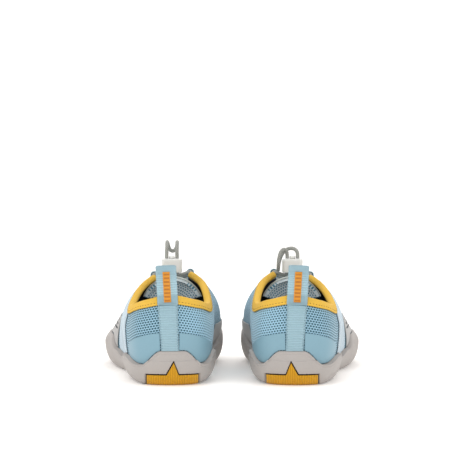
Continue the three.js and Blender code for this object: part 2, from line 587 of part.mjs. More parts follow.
// One shoe, in its own frame
function buildShoe(foot) {
  const shoe = new THREE.Group();
  const add = (name, geometry, look, place = [0, 0, 0], turnY = 0) => {
    const mesh = new THREE.Mesh(geometry, material(look));
    mesh.name = `${foot}_${name}`;
    mesh.position.set(...place);
    mesh.rotation.y = turnY;
    shoe.add(mesh);
  };
  const blank = soleBlank();
  const back = clearance;
  const innerLimit = solid(moved(blank, 0, insertDepth, insertDepth - 1));
  const pocketLimit = solid(moved(blank, 0, insertDepth + back, insertDepth - 1 + back));
  const insert = solid(prism(insertOutline(0), insertCut, -6)).intersect(solid(blank));
  const pocket = solid(prism(insertOutline(clearance * 1.5), insertCut + back, -6)).subtract(pocketLimit);
  add('outsole', geometryOf(solid(blank).subtract(pocket)), 'rubber');
  add('heel_insert', geometryOf(insert.subtract(innerLimit)), 'insert');
  add('lasting_board', plate(insideWall, soleFloor + clearance, boardThickness), 'board');
  add('insole', plate(insideWall + 0.2, soleFloor + boardThickness + clearance * 2,
    insoleThickness), 'insole');
  add('upper_shell', shell({
    us, shares: upperRows, near: -upperWall, far: 0, closed: true, from: () => 0, to: () => 1,
  }), 'mesh');
  add('heel_stiffener', shell({
    us: arc(-1.7, 1.7), shares: range(0, 1, 3), near: -insideWall - stiffenerWall, far: -insideWall,
    from: (u) => heightV(u, insoleTop + 1), to: (u) => heightV(u, risen(50)),
  }), 'stiffener');
  add('collar_lining', shell({
    us: arc(-liningEnd + 0.05, liningEnd - 0.05), shares: range(0, 1, 5),
    near: (u) => -liningFar(u), far: (u) => -liningNear(u),
    from: (u) => heightV(u, insoleTop + 1), to: () => 1,
  }), 'lining');
  add('collar_binding', collarBinding(), 'binding');
  add('counter_lateral', counterPanel(1), 'film');
  add('counter_medial', counterPanel(-1), 'film');
  const strapBottom = edgeHeight(0) + strapLift;
  const strapTop = surface(0, 1).z - bindingDrop - strapLift;
  add('heel_strap', heelBand(strapHalf, strapBottom, strapTop, 6, clearance, clearance + strapWall),
    'webbing');
  const outside = clearance * 2 + bindingWall;
  const tabFoot = surface(0, 1).z + 0.8; // just above the heel's rim
  add('pull_tab_anchor', heelBand(tabHalf, strapTop + 1, tabFoot - 2, 2, outside,
    outside + tabWall), 'webbing');
  const tabBase = [leanX(tabFoot), surface(0, 1).y - outside - tabWall - 0.1, tabFoot];
  const leanAngle = Math.atan(heelLean);
  add('pull_tab_loop', tabLoop(), 'webbing', tabBase, leanAngle);
  add('tab_marking', ladderStrip(5.6, 14, 0.5, 4), 'marking',
    [tabBase[0] + heelLean * 1.5, tabBase[1] - 0.5 - clearance, tabBase[2] + 1.5], leanAngle);
  const overlayTop = (u) => heightV(u, risen(44));
  add('ribbed_panel', sidePanel(2.05, 3.4, belowBinding), 'ribbed');
  add('slit_overlay', sidePanel(3.55, 4.8, overlayTop), 'overlay');
  add('medial_overlay', sidePanel(9.3, 10.7, overlayTop), 'overlay');
  add('tongue', tongueSolid(0.032, 1, 9, 0, tonguePad), 'mesh');
  add('tongue_edge', tongueSolid(0, 0.022, 1, -0.2, tongueWall), 'tongueTape');
  for (const [name, from, to] of [['lateral', 4.15, 6.6], ['medial', 7.4, 9.85]]) {
    add(`eyestay_${name}`, shell({
      us: arc(from, to), shares: range(0, 1, 2), near: clearance * 2, far: clearance * 2 + 1,
      from: (u) => heightV(u, surface(u, 1).z - 2.5) - 0.06, to: () => 1,
    }), 'overlay');
  }
  for (const row of [0, 1]) {
    add(`lace_guide_lateral_${row + 1}`, laceGuide(row, 1), 'webbing');
    add(`lace_guide_medial_${row + 1}`, laceGuide(row, -1), 'webbing');
  }
  add('lace', bar(laceRoute(), laceDiameter, laceSides, 52), 'lace');
  const loop = loopRoutes[foot].map(([x, y, z]) => at(x, lockY + y, lockTop + z));
  add('lace_loop', bar(loop, laceDiameter, laceSides, 26), 'lace');
  add('cord_lock_body', lockBody(), 'lock', [lockX, lockY, lockBottom]);
  add('cord_lock_button', lockButton(), 'lock', [lockX, lockY, buttonBottom]);
  add('lock_spring', lockSpring(), 'steel',
    [lockX, lockY, lockBottom + buttonSeat + clearance + springWire / 2]);
  return shoe;
}

const pair = new THREE.Group();
for (const [foot, side] of [['left', -1], ['right', 1]]) {
  const shoe = buildShoe(foot);
  const placed = new THREE.Group();
  placed.rotation.z = -THREE.MathUtils.degToRad(toeOut) * side;
  placed.position.set((side * heelSpacing) / 2, -shoeLength / 2, 0);
  placed.scale.x = side;
  placed.add(shoe);
  pair.add(placed);
}

export default pair;
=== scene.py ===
import bpy
import bmesh
import math
import numpy as np
from mathutils import Matrix, Vector


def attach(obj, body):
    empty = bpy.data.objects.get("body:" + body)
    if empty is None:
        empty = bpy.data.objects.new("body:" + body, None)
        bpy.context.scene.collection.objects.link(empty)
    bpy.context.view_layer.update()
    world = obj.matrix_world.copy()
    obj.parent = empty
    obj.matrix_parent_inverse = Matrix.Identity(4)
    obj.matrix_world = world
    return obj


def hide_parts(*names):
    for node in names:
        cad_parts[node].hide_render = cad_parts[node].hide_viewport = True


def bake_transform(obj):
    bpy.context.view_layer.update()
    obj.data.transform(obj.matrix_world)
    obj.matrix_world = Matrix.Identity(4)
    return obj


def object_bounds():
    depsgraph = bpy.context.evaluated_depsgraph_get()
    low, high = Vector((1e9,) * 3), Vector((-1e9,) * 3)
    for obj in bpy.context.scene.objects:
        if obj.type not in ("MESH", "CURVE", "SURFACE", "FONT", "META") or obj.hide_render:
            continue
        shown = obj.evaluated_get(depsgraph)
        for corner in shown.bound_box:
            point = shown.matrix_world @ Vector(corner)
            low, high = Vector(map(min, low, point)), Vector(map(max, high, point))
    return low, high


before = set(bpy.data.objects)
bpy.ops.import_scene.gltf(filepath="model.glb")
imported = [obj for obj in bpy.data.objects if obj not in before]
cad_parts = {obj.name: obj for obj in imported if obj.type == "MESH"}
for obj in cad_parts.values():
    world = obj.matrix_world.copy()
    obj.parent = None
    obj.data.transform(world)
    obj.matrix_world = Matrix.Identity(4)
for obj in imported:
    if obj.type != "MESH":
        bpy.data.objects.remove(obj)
cadLow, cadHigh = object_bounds()
mm = 0.001  # all the shoe's own sizes below are in millimetres

# camera
cameraSetup = {"distance": 1.5, "height": 0.1787, "side": -0.003, "tilt": 2.16, "lens": 153.6}


def makeCamera():
    data = bpy.data.cameras.new("camera")
    data.lens = cameraSetup["lens"]
    data.sensor_width = 36
    data.clip_start = 0.05
    data.clip_end = 30
    camera = bpy.data.objects.new("camera", data)
    camera.location = (cameraSetup["side"], cadLow.y - cameraSetup["distance"], cameraSetup["height"])
    camera.rotation_euler = (math.radians(90 - cameraSetup["tilt"]), 0, 0)
    bpy.context.scene.collection.objects.link(camera)
    bpy.context.scene.camera = camera


makeCamera()
print("camera ready")

# shape of the foot
last = {
    "length": 256, "heelSpacing": 96, "toeOut": 2, "soleFloor": 8, "wallPeak": 20, "footprintInset": 10.5,
    "wallAtPeak": 4, "wallAtTop": 2.2, "clearance": 0.35,
}
stations = 14  # heel centre, outer side to the toe, and back along the inner side
widestRing = [(0, 0, 20), (25, 9, 20), (36.4, 45, 20), (39.5, 95, 20), (51, 140, 20),
              (54.5, 182, 20), (40, 235, 20), (-3, 256, 20), (-33, 244, 20), (-44.5, 214, 20),
              (-46.5, 178, 20), (-33, 100, 20), (-36.4, 45, 20), (-25, 9, 20)]
shoulderRing = [(0, 3, 46), (24.6, 11.5, 46), (34.5, 48, 43), (37, 92, 45), (40, 138, 43),
                (39, 176, 40), (28, 219, 35), (-4, 235, 33), (-25, 225, 35), (-38, 198, 42),
                (-43, 152, 47), (-37, 98, 50), (-34.5, 48, 45), (-24.6, 11.5, 46)]
instepRing = [(0, 6, 60), (23.7, 13.6, 56), (33.3, 48, 50), (31, 90, 60), (29, 118, 65),
              (27, 150, 57), (19, 188, 50), (-4, 202, 47.5), (-19, 192, 50), (-30, 164, 58),
              (-33, 124, 68), (-33, 93, 65), (-33.3, 48, 51.5), (-23.7, 13.6, 56)]
rimRing = [(0, 9, 69.2), (20, 15, 64.8), (31, 48, 59), (24, 86, 71), (12.6, 104, 79),
           (10.5, 135, 69), (8, 158, 60), (-3, 168, 57), (-13.5, 158, 60), (-15, 135, 69.5),
           (-17.4, 104, 81.5), (-27, 86, 75), (-31, 48, 60.5), (-20, 15, 65.2)]
columnsRound = 1120
rowsUp = 160


def splineThrough(points, places, closed):  # centripetal curve; places are counted in points
    count = len(points)
    if closed:
        lower = np.floor(places).astype(int)
        pick = [points[(lower + k) % count] for k in (-1, 0, 1, 2)]
    else:
        lower = np.clip(np.floor(places).astype(int), 0, count - 2)
        padded = np.concatenate([[2 * points[0] - points[1]], points, [2 * points[-1] - points[-2]]])
        pick = [padded[lower + k] for k in (0, 1, 2, 3)]
    share = (places - lower)[:, None]
    gaps = [np.sqrt(np.linalg.norm(b - a, axis=-1, keepdims=True)) for a, b in zip(pick, pick[1:])]
    g0, g1, g2 = [np.maximum(g, 1e-6) for g in gaps]
    p0, p1, p2, p3 = pick
    t1 = ((p1 - p0) / g0 - (p2 - p0) / (g0 + g1) + (p2 - p1) / g1) * g1
    t2 = ((p2 - p1) / g1 - (p3 - p1) / (g1 + g2) + (p3 - p2) / g2) * g1
    c2 = -3 * p1 + 3 * p2 - 2 * t1 - t2
    c3 = 2 * p1 - 2 * p2 + t1 + t2
    return p1 + t1 * share + c2 * share ** 2 + c3 * share ** 3


def buildLast():  # tables of points and outward directions over the whole upper
    around = np.arange(columnsRound) * stations / columnsRound
    wide = splineThrough(np.array(widestRing, float), around, True)
    along = np.roll(wide, -2, axis=0) - np.roll(wide, 2, axis=0)
    outward = np.stack([along[:, 1], -along[:, 0], np.zeros(columnsRound)], axis=1)
    outward /= np.linalg.norm(outward, axis=1, keepdims=True)
    foot = wide - outward * last["wallAtPeak"] * 2
    foot[:, 2] = last["soleFloor"] + last["clearance"]
    levels = [foot, wide - outward * last["wallAtPeak"]]
    levels += [splineThrough(np.array(r, float), around, True) for r in (shoulderRing, instepRing, rimRing)]
    levels = np.stack(levels)
    up = np.linspace(0, 4, rowsUp + 1)
    table = np.stack([splineThrough(levels[:, i], up, False) for i in range(columnsRound)])
    across = np.roll(table, -3, axis=0) - np.roll(table, 3, axis=0)
    rise = np.gradient(table, axis=1)
    normal = np.cross(across, rise)
    normal /= np.linalg.norm(normal, axis=2, keepdims=True)
    return {"wide": wide, "outward": outward, "table": table, "normal": normal}


lastTables = buildLast()


def onTable(table, u, v):  # smooth lookup, u in turns and v from 0 to 1
    i = np.mod(u, 1) * columnsRound
    j = np.clip(v, 0, 1) * rowsUp
    i0 = np.floor(i).astype(int)
    j0 = np.minimum(np.floor(j).astype(int), rowsUp - 1)
    a = (i - i0)[:, None]
    b = (j - j0)[:, None]
    i0 = i0 % columnsRound
    i1 = (i0 + 1) % columnsRound
    low = table[i0, j0] * (1 - a) + table[i1, j0] * a
    high = table[i0, j0 + 1] * (1 - a) + table[i1, j0 + 1] * a
    return low * (1 - b) + high * b


def onRing(ring, u):
    i = np.mod(u, 1) * columnsRound
    i0 = np.floor(i).astype(int)
    a = (i - i0)[:, None]
    return ring[i0 % columnsRound] * (1 - a) + ring[(i0 + 1) % columnsRound] * a


def offset(u, v, distance):
    normal = onTable(lastTables["normal"], u, v)
    return onTable(lastTables["table"], u, v) + normal * np.reshape(distance, (-1, 1))


def heightV(u, z):  # the v at which the upper reaches height z
    u, z = np.broadcast_arrays(np.asarray(u, float), np.asarray(z, float))
    low = np.zeros(u.shape)
    high = np.ones(u.shape)
    for _ in range(16):
        middle = (low + high) / 2
        below = onTable(lastTables["table"], u, middle)[:, 2] < z
        low = np.where(below, middle, low)
        high = np.where(below, high, middle)
    return (low + high) / 2


def heelU(x, z):  # the u near the heel at which the upper is x to the side, at height z
    x, z = np.broadcast_arrays(np.asarray(x, float), np.asarray(z, float))
    side = np.where(x < 0, -1.0, 1.0)
    low = np.zeros(x.shape)
    high = np.full(x.shape, 1.9 / stations)
    for _ in range(14):
        middle = (low + high) / 2
        u = side * middle
        point = onTable(lastTables["table"], u, heightV(u, z))
        near = np.abs(point[:, 0]) < np.abs(x)
        low = np.where(near, middle, low)
        high = np.where(near, high, middle)
    return side * (low + high) / 2


def eased(table, at):  # smooth steps between (place, value) pairs
    xs = np.array([t[0] for t in table], float)
    ys = np.array([t[1] for t in table], float)
    at = np.clip(at, xs[0], xs[-1])
    k = np.clip(np.searchsorted(xs, at, side="right") - 1, 0, len(xs) - 2)
    share = (at - xs[k]) / (xs[k + 1] - xs[k])
    return ys[k] + (ys[k + 1] - ys[k]) * share * share * (3 - 2 * share)


def stationOf(u):  # stations from the heel centre, positive on both sides
    turns = np.mod(u, 1) * stations
    return np.minimum(turns, stations - turns)


def isOuter(u):
    return np.mod(u, 1) < 0.5


edgeOut = [(0, 27.4), (0.27, 27.3), (0.93, 16.5), (1.08, 16.5), (1.9, 20.5), (2.4, 20.5), (3.1, 14),
           (3.5, 18), (4.0, 27.5), (5.3, 28), (6.2, 25), (7, 27)]
edgeIn = [(0, 27.4), (0.41, 27.3), (1.07, 17), (1.22, 17), (1.9, 24), (2.4, 24), (3.0, 15), (3.5, 19),
          (3.9, 28), (4.9, 28.5), (6, 25), (7, 27)]


def edgeHeight(u):  # top edge of the sole's wall
    s = stationOf(u)
    return np.where(isOuter(u), eased(edgeOut, s), eased(edgeIn, s))


def wallPoint(u, z):  # outer face of the sole's wall
    peak = last["wallPeak"]
    drop = np.clip((peak - z) / peak, 0, 1)
    inset = last["footprintInset"] * (1 - np.sqrt(np.clip(1 - drop * drop, 0, 1)))
    low = onRing(lastTables["wide"], u) - onRing(lastTables["outward"], u) * inset[:, None]
    low[:, 2] = z
    share = np.clip((z - peak) / 8, 0, 1)
    high = offset(u, heightV(u, z), last["wallAtPeak"] + (last["wallAtTop"] - last["wallAtPeak"]) * share)
    return np.where((z <= peak)[:, None], low, high)


def buildLengths():  # arc lengths in mm round the upper and up it
    middle = lastTables["table"][:, rowsUp * 2 // 5]
    around = np.concatenate([[0], np.cumsum(np.linalg.norm(np.diff(middle, axis=0), axis=1))])
    up = np.linalg.norm(np.diff(lastTables["table"], axis=1), axis=2)
    up = np.concatenate([np.zeros((columnsRound, 1)), np.cumsum(up, axis=1)], axis=1)
    return around, up[:, :, None]


aroundLength, upLength = buildLengths()


def patternPlace(u, v):  # flat pattern coordinates in mm
    i = np.asarray(u, float) * columnsRound
    whole = np.floor(i / columnsRound)
    across = np.interp(i - whole * columnsRound, np.arange(columnsRound), aroundLength)
    across = across + whole * aroundLength[-1]
    down = onTable(upLength, u, v)[:, 0] - onTable(upLength, u, np.ones(len(across)))[:, 0]
    return np.stack([across, down], axis=1)  # rows run level with the rim


print("last ready")

# making pieces
sides = {"left": -1, "right": 1}
turnOut = math.radians(last["toeOut"])


def place(foot, points):  # from a shoe's own frame, in mm, to the pair's frame, in metres
    side = sides[foot]
    points = np.asarray(points, float)
    x = points[:, 0] * math.cos(turnOut) + points[:, 1] * math.sin(turnOut)
    y = -points[:, 0] * math.sin(turnOut) + points[:, 1] * math.cos(turnOut)
    x = side * (x + last["heelSpacing"] / 2)
    y = y + cadLow.y / mm
    return np.stack([x, y, points[:, 2]], axis=1) * mm


def linked(name, bm, material):
    mesh = bpy.data.meshes.new(name)
    bm.to_mesh(mesh)
    bm.free()
    piece = bpy.data.objects.new(name, mesh)
    bpy.context.scene.collection.objects.link(piece)
    mesh.materials.append(material)
    mesh.polygons.foreach_set("use_smooth", [True] * len(mesh.polygons))
    return piece


def gridPiece(foot, name, columns, rows, shape, material, wrapAcross=False, wrapUp=False):
    # shape takes s and t, from 0 to 1, and gives points, pattern places in mm and an optional mask
    bm = bmesh.new()
    bmesh.ops.create_grid(bm, x_segments=columns, y_segments=rows, size=0.5)
    bm.verts.ensure_lookup_table()
    flat = np.array([v.co[:2] for v in bm.verts]) + 0.5
    points, pattern, mask = (tuple(shape(flat[:, 0], flat[:, 1])) + (None,))[:3]
    uvLayer = bm.loops.layers.uv.new("surfaceMap")
    maskLayer = bm.verts.layers.float.new("patternMask")
    for face in bm.faces:
        for loop in face.loops:
            loop[uvLayer].uv = pattern[loop.vert.index]
    for vert, point in zip(bm.verts, place(foot, points)):
        vert.co = point
        vert[maskLayer] = 1.0
    if mask is not None:
        for vert, value in zip(bm.verts, mask):
            vert[maskLayer] = float(value)
    if wrapAcross or wrapUp:
        edges = [v for v in bm.verts if v.is_boundary]
        bmesh.ops.remove_doubles(bm, verts=edges, dist=2e-6)
    if sides[foot] < 0:
        bmesh.ops.reverse_faces(bm, faces=bm.faces)
    return linked(f"{foot}_{name}", bm, material)


def settle(piece, foot, nodes=(), body="shoe"):  # replaced nodes and body of a finished piece
    if nodes:
        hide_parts(*[f"{foot}_{n}" for n in nodes])
    if body:
        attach(piece, f"{foot}_{body}")
    return piece


def closeEnds(piece, smooth=True):
    bm = bmesh.new()
    bm.from_mesh(piece.data)
    rims = [e for e in bm.edges if e.is_boundary]
    if rims:
        bmesh.ops.holes_fill(bm, edges=rims, sides=0)
    bmesh.ops.recalc_face_normals(bm, faces=bm.faces)
    bm.to_mesh(piece.data)
    bm.free()
    if smooth:
        piece.data.polygons.foreach_set("use_smooth", [True] * len(piece.data.polygons))


def mergeSeam(piece, distance, rimOnly):  # joins doubled points and drops faces with no area
    bm = bmesh.new()
    bm.from_mesh(piece.data)
    doubled = [v for v in bm.verts if v.is_boundary or not rimOnly]
    bmesh.ops.remove_doubles(bm, verts=doubled, dist=distance)
    bmesh.ops.dissolve_degenerate(bm, dist=1e-7, edges=bm.edges)
    bm.to_mesh(piece.data)
    bm.free()


def tubePiece(foot, name, route, radius, sidesRound, steps, material):
    # a closed tube along a smooth curve through route
    route = np.array(route, float)
    places = np.linspace(0, len(route) - 1, steps + 1)
    centre = splineThrough(route, places, False)
    tangent = np.gradient(centre, axis=0)
    tangent /= np.linalg.norm(tangent, axis=1, keepdims=True)
    run = np.concatenate([[0], np.cumsum(np.linalg.norm(np.diff(centre, axis=0), axis=1))])
    side = np.zeros_like(centre)
    first = np.cross(tangent[0], [0.3, 1, 0.2])
    side[0] = first / np.linalg.norm(first)
    for i in range(1, steps + 1):  # carried along without twist
        carried = side[i - 1] - tangent[i] * np.dot(side[i - 1], tangent[i])
        side[i] = carried / np.linalg.norm(carried)
    other = np.cross(tangent, side)

    def shape(s, t):
        i = np.rint(t * steps).astype(int)
        angle = 2 * math.pi * s
        points = centre[i] + radius * (np.cos(angle)[:, None] * side[i] + np.sin(angle)[:, None] * other[i])
        return points, np.stack([s * 2 * math.pi * radius, run[i]], axis=1)

    piece = gridPiece(foot, name, sidesRound, steps, shape, material, wrapAcross=True)
    closeEnds(piece, smooth=False)
    return piece, place(foot, centre), float(run[-1]) * mm


def stitchRow(foot, name, centres, directions, normals, size, material):
    # short rounded thread bumps: length, width and height in mm
    bm = bmesh.new()
    places = place(foot, centres)
    ahead = place(foot, np.asarray(centres) + directions) - places
    above = place(foot, np.asarray(centres) + normals) - places
    for p, d, n in zip(places, ahead, above):
        along = Vector(d).normalized()
        up = Vector(n).normalized()
        sideways = up.cross(along).normalized()
        up = along.cross(sideways)
        turn = Matrix((along * size[0] / 2, sideways * size[1] / 2, up * size[2] / 2)).transposed() * mm
        spot = Matrix.Translation(Vector(p)) @ turn.to_4x4()
        bmesh.ops.create_icosphere(bm, subdivisions=1, radius=1.0, matrix=spot)
    bmesh.ops.recalc_face_normals(bm, faces=bm.faces)
    return linked(f"{foot}_{name}", bm, material)


# shared pattern groups
def newGroup(name, inputs, outputs):
    group = bpy.data.node_groups.new(name, "ShaderNodeTree")
    for label, kind, value in inputs:
        socket = group.interface.new_socket(label, in_out="INPUT", socket_type=kind)
        if value is not None:
            socket.default_value = value
    for label, kind in outputs:
        group.interface.new_socket(label, in_out="OUTPUT", socket_type=kind)
    return group, group.nodes.new("NodeGroupInput"), group.nodes.new("NodeGroupOutput")


def mathNode(tree, operation, first, second=None, third=None):
    node = tree.nodes.new("ShaderNodeMath")
    node.operation = operation
    for socket, value in zip(node.inputs, (first, second, third)):
        if value is None:
            continue
        if isinstance(value, (int, float)):
            socket.default_value = value
        else:
            tree.links.new(value, socket)
    return node.outputs[0]


def smoothBand(tree, value, low, high):  # 0 below low, 1 above high
    node = tree.nodes.new("ShaderNodeMapRange")
    node.interpolation_type = "SMOOTHSTEP"
    tree.links.new(value, node.inputs["Value"])
    for label, edge in (("From Min", low), ("From Max", high)):
        if isinstance(edge, (int, float)):
            node.inputs[label].default_value = edge
        else:
            tree.links.new(edge, node.inputs[label])
    return node.outputs["Result"]


def shaded(tree, colour, amount):  # a colour made lighter or darker by a value
    shade = tree.nodes.new("ShaderNodeVectorMath")
    shade.operation = "SCALE"
    tree.links.new(colour, shade.inputs[0])
    tree.links.new(amount, shade.inputs["Scale"])
    return shade.outputs[0]


def makeHoleGroup():  # staggered round holes between knitted strands
    group, start, end = newGroup("openKnit", [
        ("Vector", "NodeSocketVector", None), ("Across", "NodeSocketFloat", 2.0),
        ("Up", "NodeSocketFloat", 1.8), ("Hole", "NodeSocketFloat", 0.3),
    ], [("Hole", "NodeSocketFloat"), ("Height", "NodeSocketFloat")])
    split = group.nodes.new("ShaderNodeSeparateXYZ")
    group.links.new(start.outputs["Vector"], split.inputs[0])
    row = mathNode(group, "DIVIDE", split.outputs[1], start.outputs["Up"])
    shift = mathNode(group, "MULTIPLY", mathNode(group, "MODULO", mathNode(group, "FLOOR", row), 2.0), 0.5)
    column = mathNode(group, "ADD", mathNode(group, "DIVIDE", split.outputs[0], start.outputs["Across"]), shift)
    across = mathNode(group, "SUBTRACT", mathNode(group, "FRACT", column), 0.5)
    up = mathNode(group, "SUBTRACT", mathNode(group, "FRACT", row), 0.5)
    reach = mathNode(group, "SQRT", mathNode(group, "ADD", mathNode(group, "MULTIPLY", across, across),
                                             mathNode(group, "MULTIPLY", up, up)))
    rim = mathNode(group, "ADD", start.outputs["Hole"], 0.12)
    solid = smoothBand(group, reach, start.outputs["Hole"], rim)
    group.links.new(mathNode(group, "SUBTRACT", 1.0, solid), end.inputs["Hole"])
    group.links.new(solid, end.inputs["Height"])
    return group


def makeRibGroup():  # rounded ribs across the second direction
    group, start, end = newGroup("ribs", [("Vector", "NodeSocketVector", None), ("Pitch", "NodeSocketFloat", 1.4)],
                                 [("Height", "NodeSocketFloat")])
    split = group.nodes.new("ShaderNodeSeparateXYZ")
    group.links.new(start.outputs["Vector"], split.inputs[0])
    pitches = mathNode(group, "DIVIDE", split.outputs[1], start.outputs["Pitch"])
    turns = mathNode(group, "MULTIPLY", pitches, 2 * math.pi)
    wave = mathNode(group, "MULTIPLY_ADD", mathNode(group, "SINE", turns), 0.5, 0.5)
    group.links.new(wave, end.inputs["Height"])
    return group


def makeWeaveGroup():  # fine over-and-under weave
    group, start, end = newGroup("weave", [("Vector", "NodeSocketVector", None), ("Across", "NodeSocketFloat", 0.7),
                                 ("Up", "NodeSocketFloat", 0.7)], [("Height", "NodeSocketFloat")])
    split = group.nodes.new("ShaderNodeSeparateXYZ")
    group.links.new(start.outputs["Vector"], split.inputs[0])
    one = mathNode(group, "SINE", mathNode(group, "MULTIPLY", mathNode(group, "DIVIDE", split.outputs[0],
                                                                      start.outputs["Across"]), math.pi))
    two = mathNode(group, "SINE", mathNode(group, "MULTIPLY", mathNode(group, "DIVIDE", split.outputs[1],
                                                                      start.outputs["Up"]), math.pi))
    product = mathNode(group, "MULTIPLY", one, two)
    group.links.new(mathNode(group, "MULTIPLY_ADD", product, 0.5, 0.5), end.inputs["Height"])
    return group


def makeGrainGroup():  # soft colour variation and fine speckle on object coordinates
    group, start, end = newGroup("grain", [("Colour", "NodeSocketColor", None), ("Scale", "NodeSocketFloat", 900.0),
                                 ("Amount", "NodeSocketFloat", 0.12), ("Cloud", "NodeSocketFloat", 0.1)],
                                 [("Colour", "NodeSocketColor"), ("Height", "NodeSocketFloat")])
    coords = group.nodes.new("ShaderNodeTexCoord")
    fine = group.nodes.new("ShaderNodeTexNoise")
    fine.inputs["Detail"].default_value = 3
    group.links.new(coords.outputs["Object"], fine.inputs["Vector"])
    group.links.new(start.outputs["Scale"], fine.inputs["Scale"])
    broad = group.nodes.new("ShaderNodeTexNoise")
    broad.inputs["Scale"].default_value = 35
    broad.inputs["Detail"].default_value = 2
    group.links.new(coords.outputs["Object"], broad.inputs["Vector"])
    speckle = mathNode(group, "MULTIPLY", mathNode(group, "SUBTRACT", fine.outputs[0], 0.5), start.outputs["Amount"])
    cloud = mathNode(group, "MULTIPLY", mathNode(group, "SUBTRACT", broad.outputs[0], 0.5), start.outputs["Cloud"])
    value = mathNode(group, "ADD", mathNode(group, "ADD", speckle, cloud), 1.0)
    group.links.new(shaded(group, start.outputs["Colour"], value), end.inputs["Colour"])
    group.links.new(fine.outputs[0], end.inputs["Height"])
    return group


holeGroup = makeHoleGroup()
ribGroup = makeRibGroup()
weaveGroup = makeWeaveGroup()
grainGroup = makeGrainGroup()
print("pattern groups ready")


# surfaces
def shader(name, roughness, colour=(0.5, 0.5, 0.5), coat=0.0, sheen=0.0):
    look = bpy.data.materials.new(name)
    look.use_nodes = True
    tree = look.node_tree
    surface = tree.nodes["Principled BSDF"]
    surface.inputs["Base Color"].default_value = (*colour, 1)
    surface.inputs["Roughness"].default_value = roughness
    surface.inputs["Coat Weight"].default_value = coat
    surface.inputs["Sheen Weight"].default_value = sheen
    return look, tree, surface


def linear(code):  # a colour such as "8fafbb" as linear values
    parts = [int(code[i:i + 2], 16) / 255 for i in (0, 2, 4)]
    return tuple(p / 12.92 if p < 0.04045 else ((p + 0.055) / 1.055) ** 2.4 for p in parts)


def useGroup(tree, group, **values):
    node = tree.nodes.new("ShaderNodeGroup")
    node.node_tree = group
    for label, value in values.items():
        socket = node.inputs[label]
        if isinstance(value, bpy.types.NodeSocket):
            tree.links.new(value, socket)
        else:
            socket.default_value = value
    return node


def mixColours(tree, share, first, second):
    mix = tree.nodes.new("ShaderNodeMix")
    mix.data_type = "RGBA"
    tree.links.new(share, mix.inputs[0])
    for socket, value in ((mix.inputs[6], first), (mix.inputs[7], second)):
        if isinstance(value, bpy.types.NodeSocket):
            tree.links.new(value, socket)
        else:
            socket.default_value = (*value, 1)
    return mix.outputs[2]


def surfaceMap(tree):
    node = tree.nodes.new("ShaderNodeUVMap")
    node.uv_map = "surfaceMap"
    return node.outputs[0]


def bumped(tree, surface, height, distance, strength=1.0):
    bump = tree.nodes.new("ShaderNodeBump")
    bump.inputs["Distance"].default_value = distance * mm
    bump.inputs["Strength"].default_value = strength
    tree.links.new(height, bump.inputs["Height"])
    tree.links.new(bump.outputs[0], surface.inputs["Normal"])


# shaped bands on the last
def crossPath(rows, length, thickness, radius, cornerParts=3):
    # shares (up, out) round a rounded rectangle, starting low on the inner face
    ra = min(0.45, radius / length)
    rb = min(0.48, radius / thickness)
    quarter = np.linspace(0, math.pi / 2, cornerParts + 2)
    side = np.linspace(ra, 1 - ra, rows + 1)
    inTop = np.stack([1 - ra + ra * np.sin(quarter), rb - rb * np.cos(quarter)], 1)
    outTop = np.stack([1 - ra + ra * np.cos(quarter), 1 - rb + rb * np.sin(quarter)], 1)
    outLow = np.stack([ra - ra * np.sin(quarter), 1 - rb + rb * np.cos(quarter)], 1)
    inLow = np.stack([ra - ra * np.cos(quarter), rb - rb * np.sin(quarter)], 1)
    inner = np.stack([side[1:-1], np.zeros(rows - 1)], 1)
    outer = np.stack([side[::-1][1:-1], np.ones(rows - 1)], 1)
    path = np.concatenate([inner, inTop, outTop, outer, outLow, inLow])
    return np.concatenate([path, path[:1]])


def bandPiece(foot, name, material, span, columns, rows, low, high, near, far, radius=0.4, relief=None,
              closed=False, taper=0.8, pointAt=None, mask=None):
    # a rounded strip over the last between two heights and two distances, each a number or of u
    length = abs(span[1] - span[0]) * aroundLength[-1]
    if closed:
        along = np.linspace(0, 1, columns + 1)
    else:  # columns crowd together where the ends round off
        ends = 1 - np.cos(np.linspace(0, math.pi / 2, 5))
        edge = ends * taper / length
        along = np.concatenate([edge, np.linspace(edge[-1], 1 - edge[-1], columns - 7)[1:-1], 1 - edge[::-1]])
    columns = len(along) - 1
    us = span[0] + (span[1] - span[0]) * along

    def value(part, u):
        return part(u) if callable(part) else np.full(len(u), float(part))

    lowV, highV, nearD, farD = (value(part, us) for part in (low, high, near, far))
    height = float(np.median((highV - lowV) * onTable(upLength, us, np.ones(len(us)))[:, 0]))
    path = crossPath(rows, max(height, radius * 2.5), float(np.median(farD - nearD)), radius)
    inward = np.ones(len(us))
    if not closed:
        toEnd = np.minimum(along, 1 - along) * length / taper
        inward = np.sqrt(np.clip(1 - (1 - np.clip(toEnd, 0, 1)) ** 2, 0, 1)) * 0.92 + 0.08

    def shape(s, t):
        i = np.rint(s * columns).astype(int)
        j = np.rint(t * (len(path) - 1)).astype(int)
        up, out = path[j, 0], path[j, 1]
        middle = 0.5 + (out - 0.5) * inward[i]
        u = us[i]
        v = lowV[i] + (highV[i] - lowV[i]) * up
        d = nearD[i] + (farD[i] - nearD[i]) * middle
        if relief is not None:
            d = d + relief(u, v, up) * np.clip(out, 0, 1) * inward[i]
        points = (pointAt or offset)(u, v, d)
        return points, patternPlace(u, v), None if mask is None else mask(u, v)

    piece = gridPiece(foot, name, columns, len(path) - 1, shape, material, wrapAcross=closed, wrapUp=True)
    closeEnds(piece)
    return piece


print("helpers ready")

# looks of the upper
knitLook = {"strand": "98c0d4", "hole": "24505f", "lining": "1d2a38", "across": 2.27, "up": 1.93, "holeSize": 0.33,
            "roughness": 0.75}


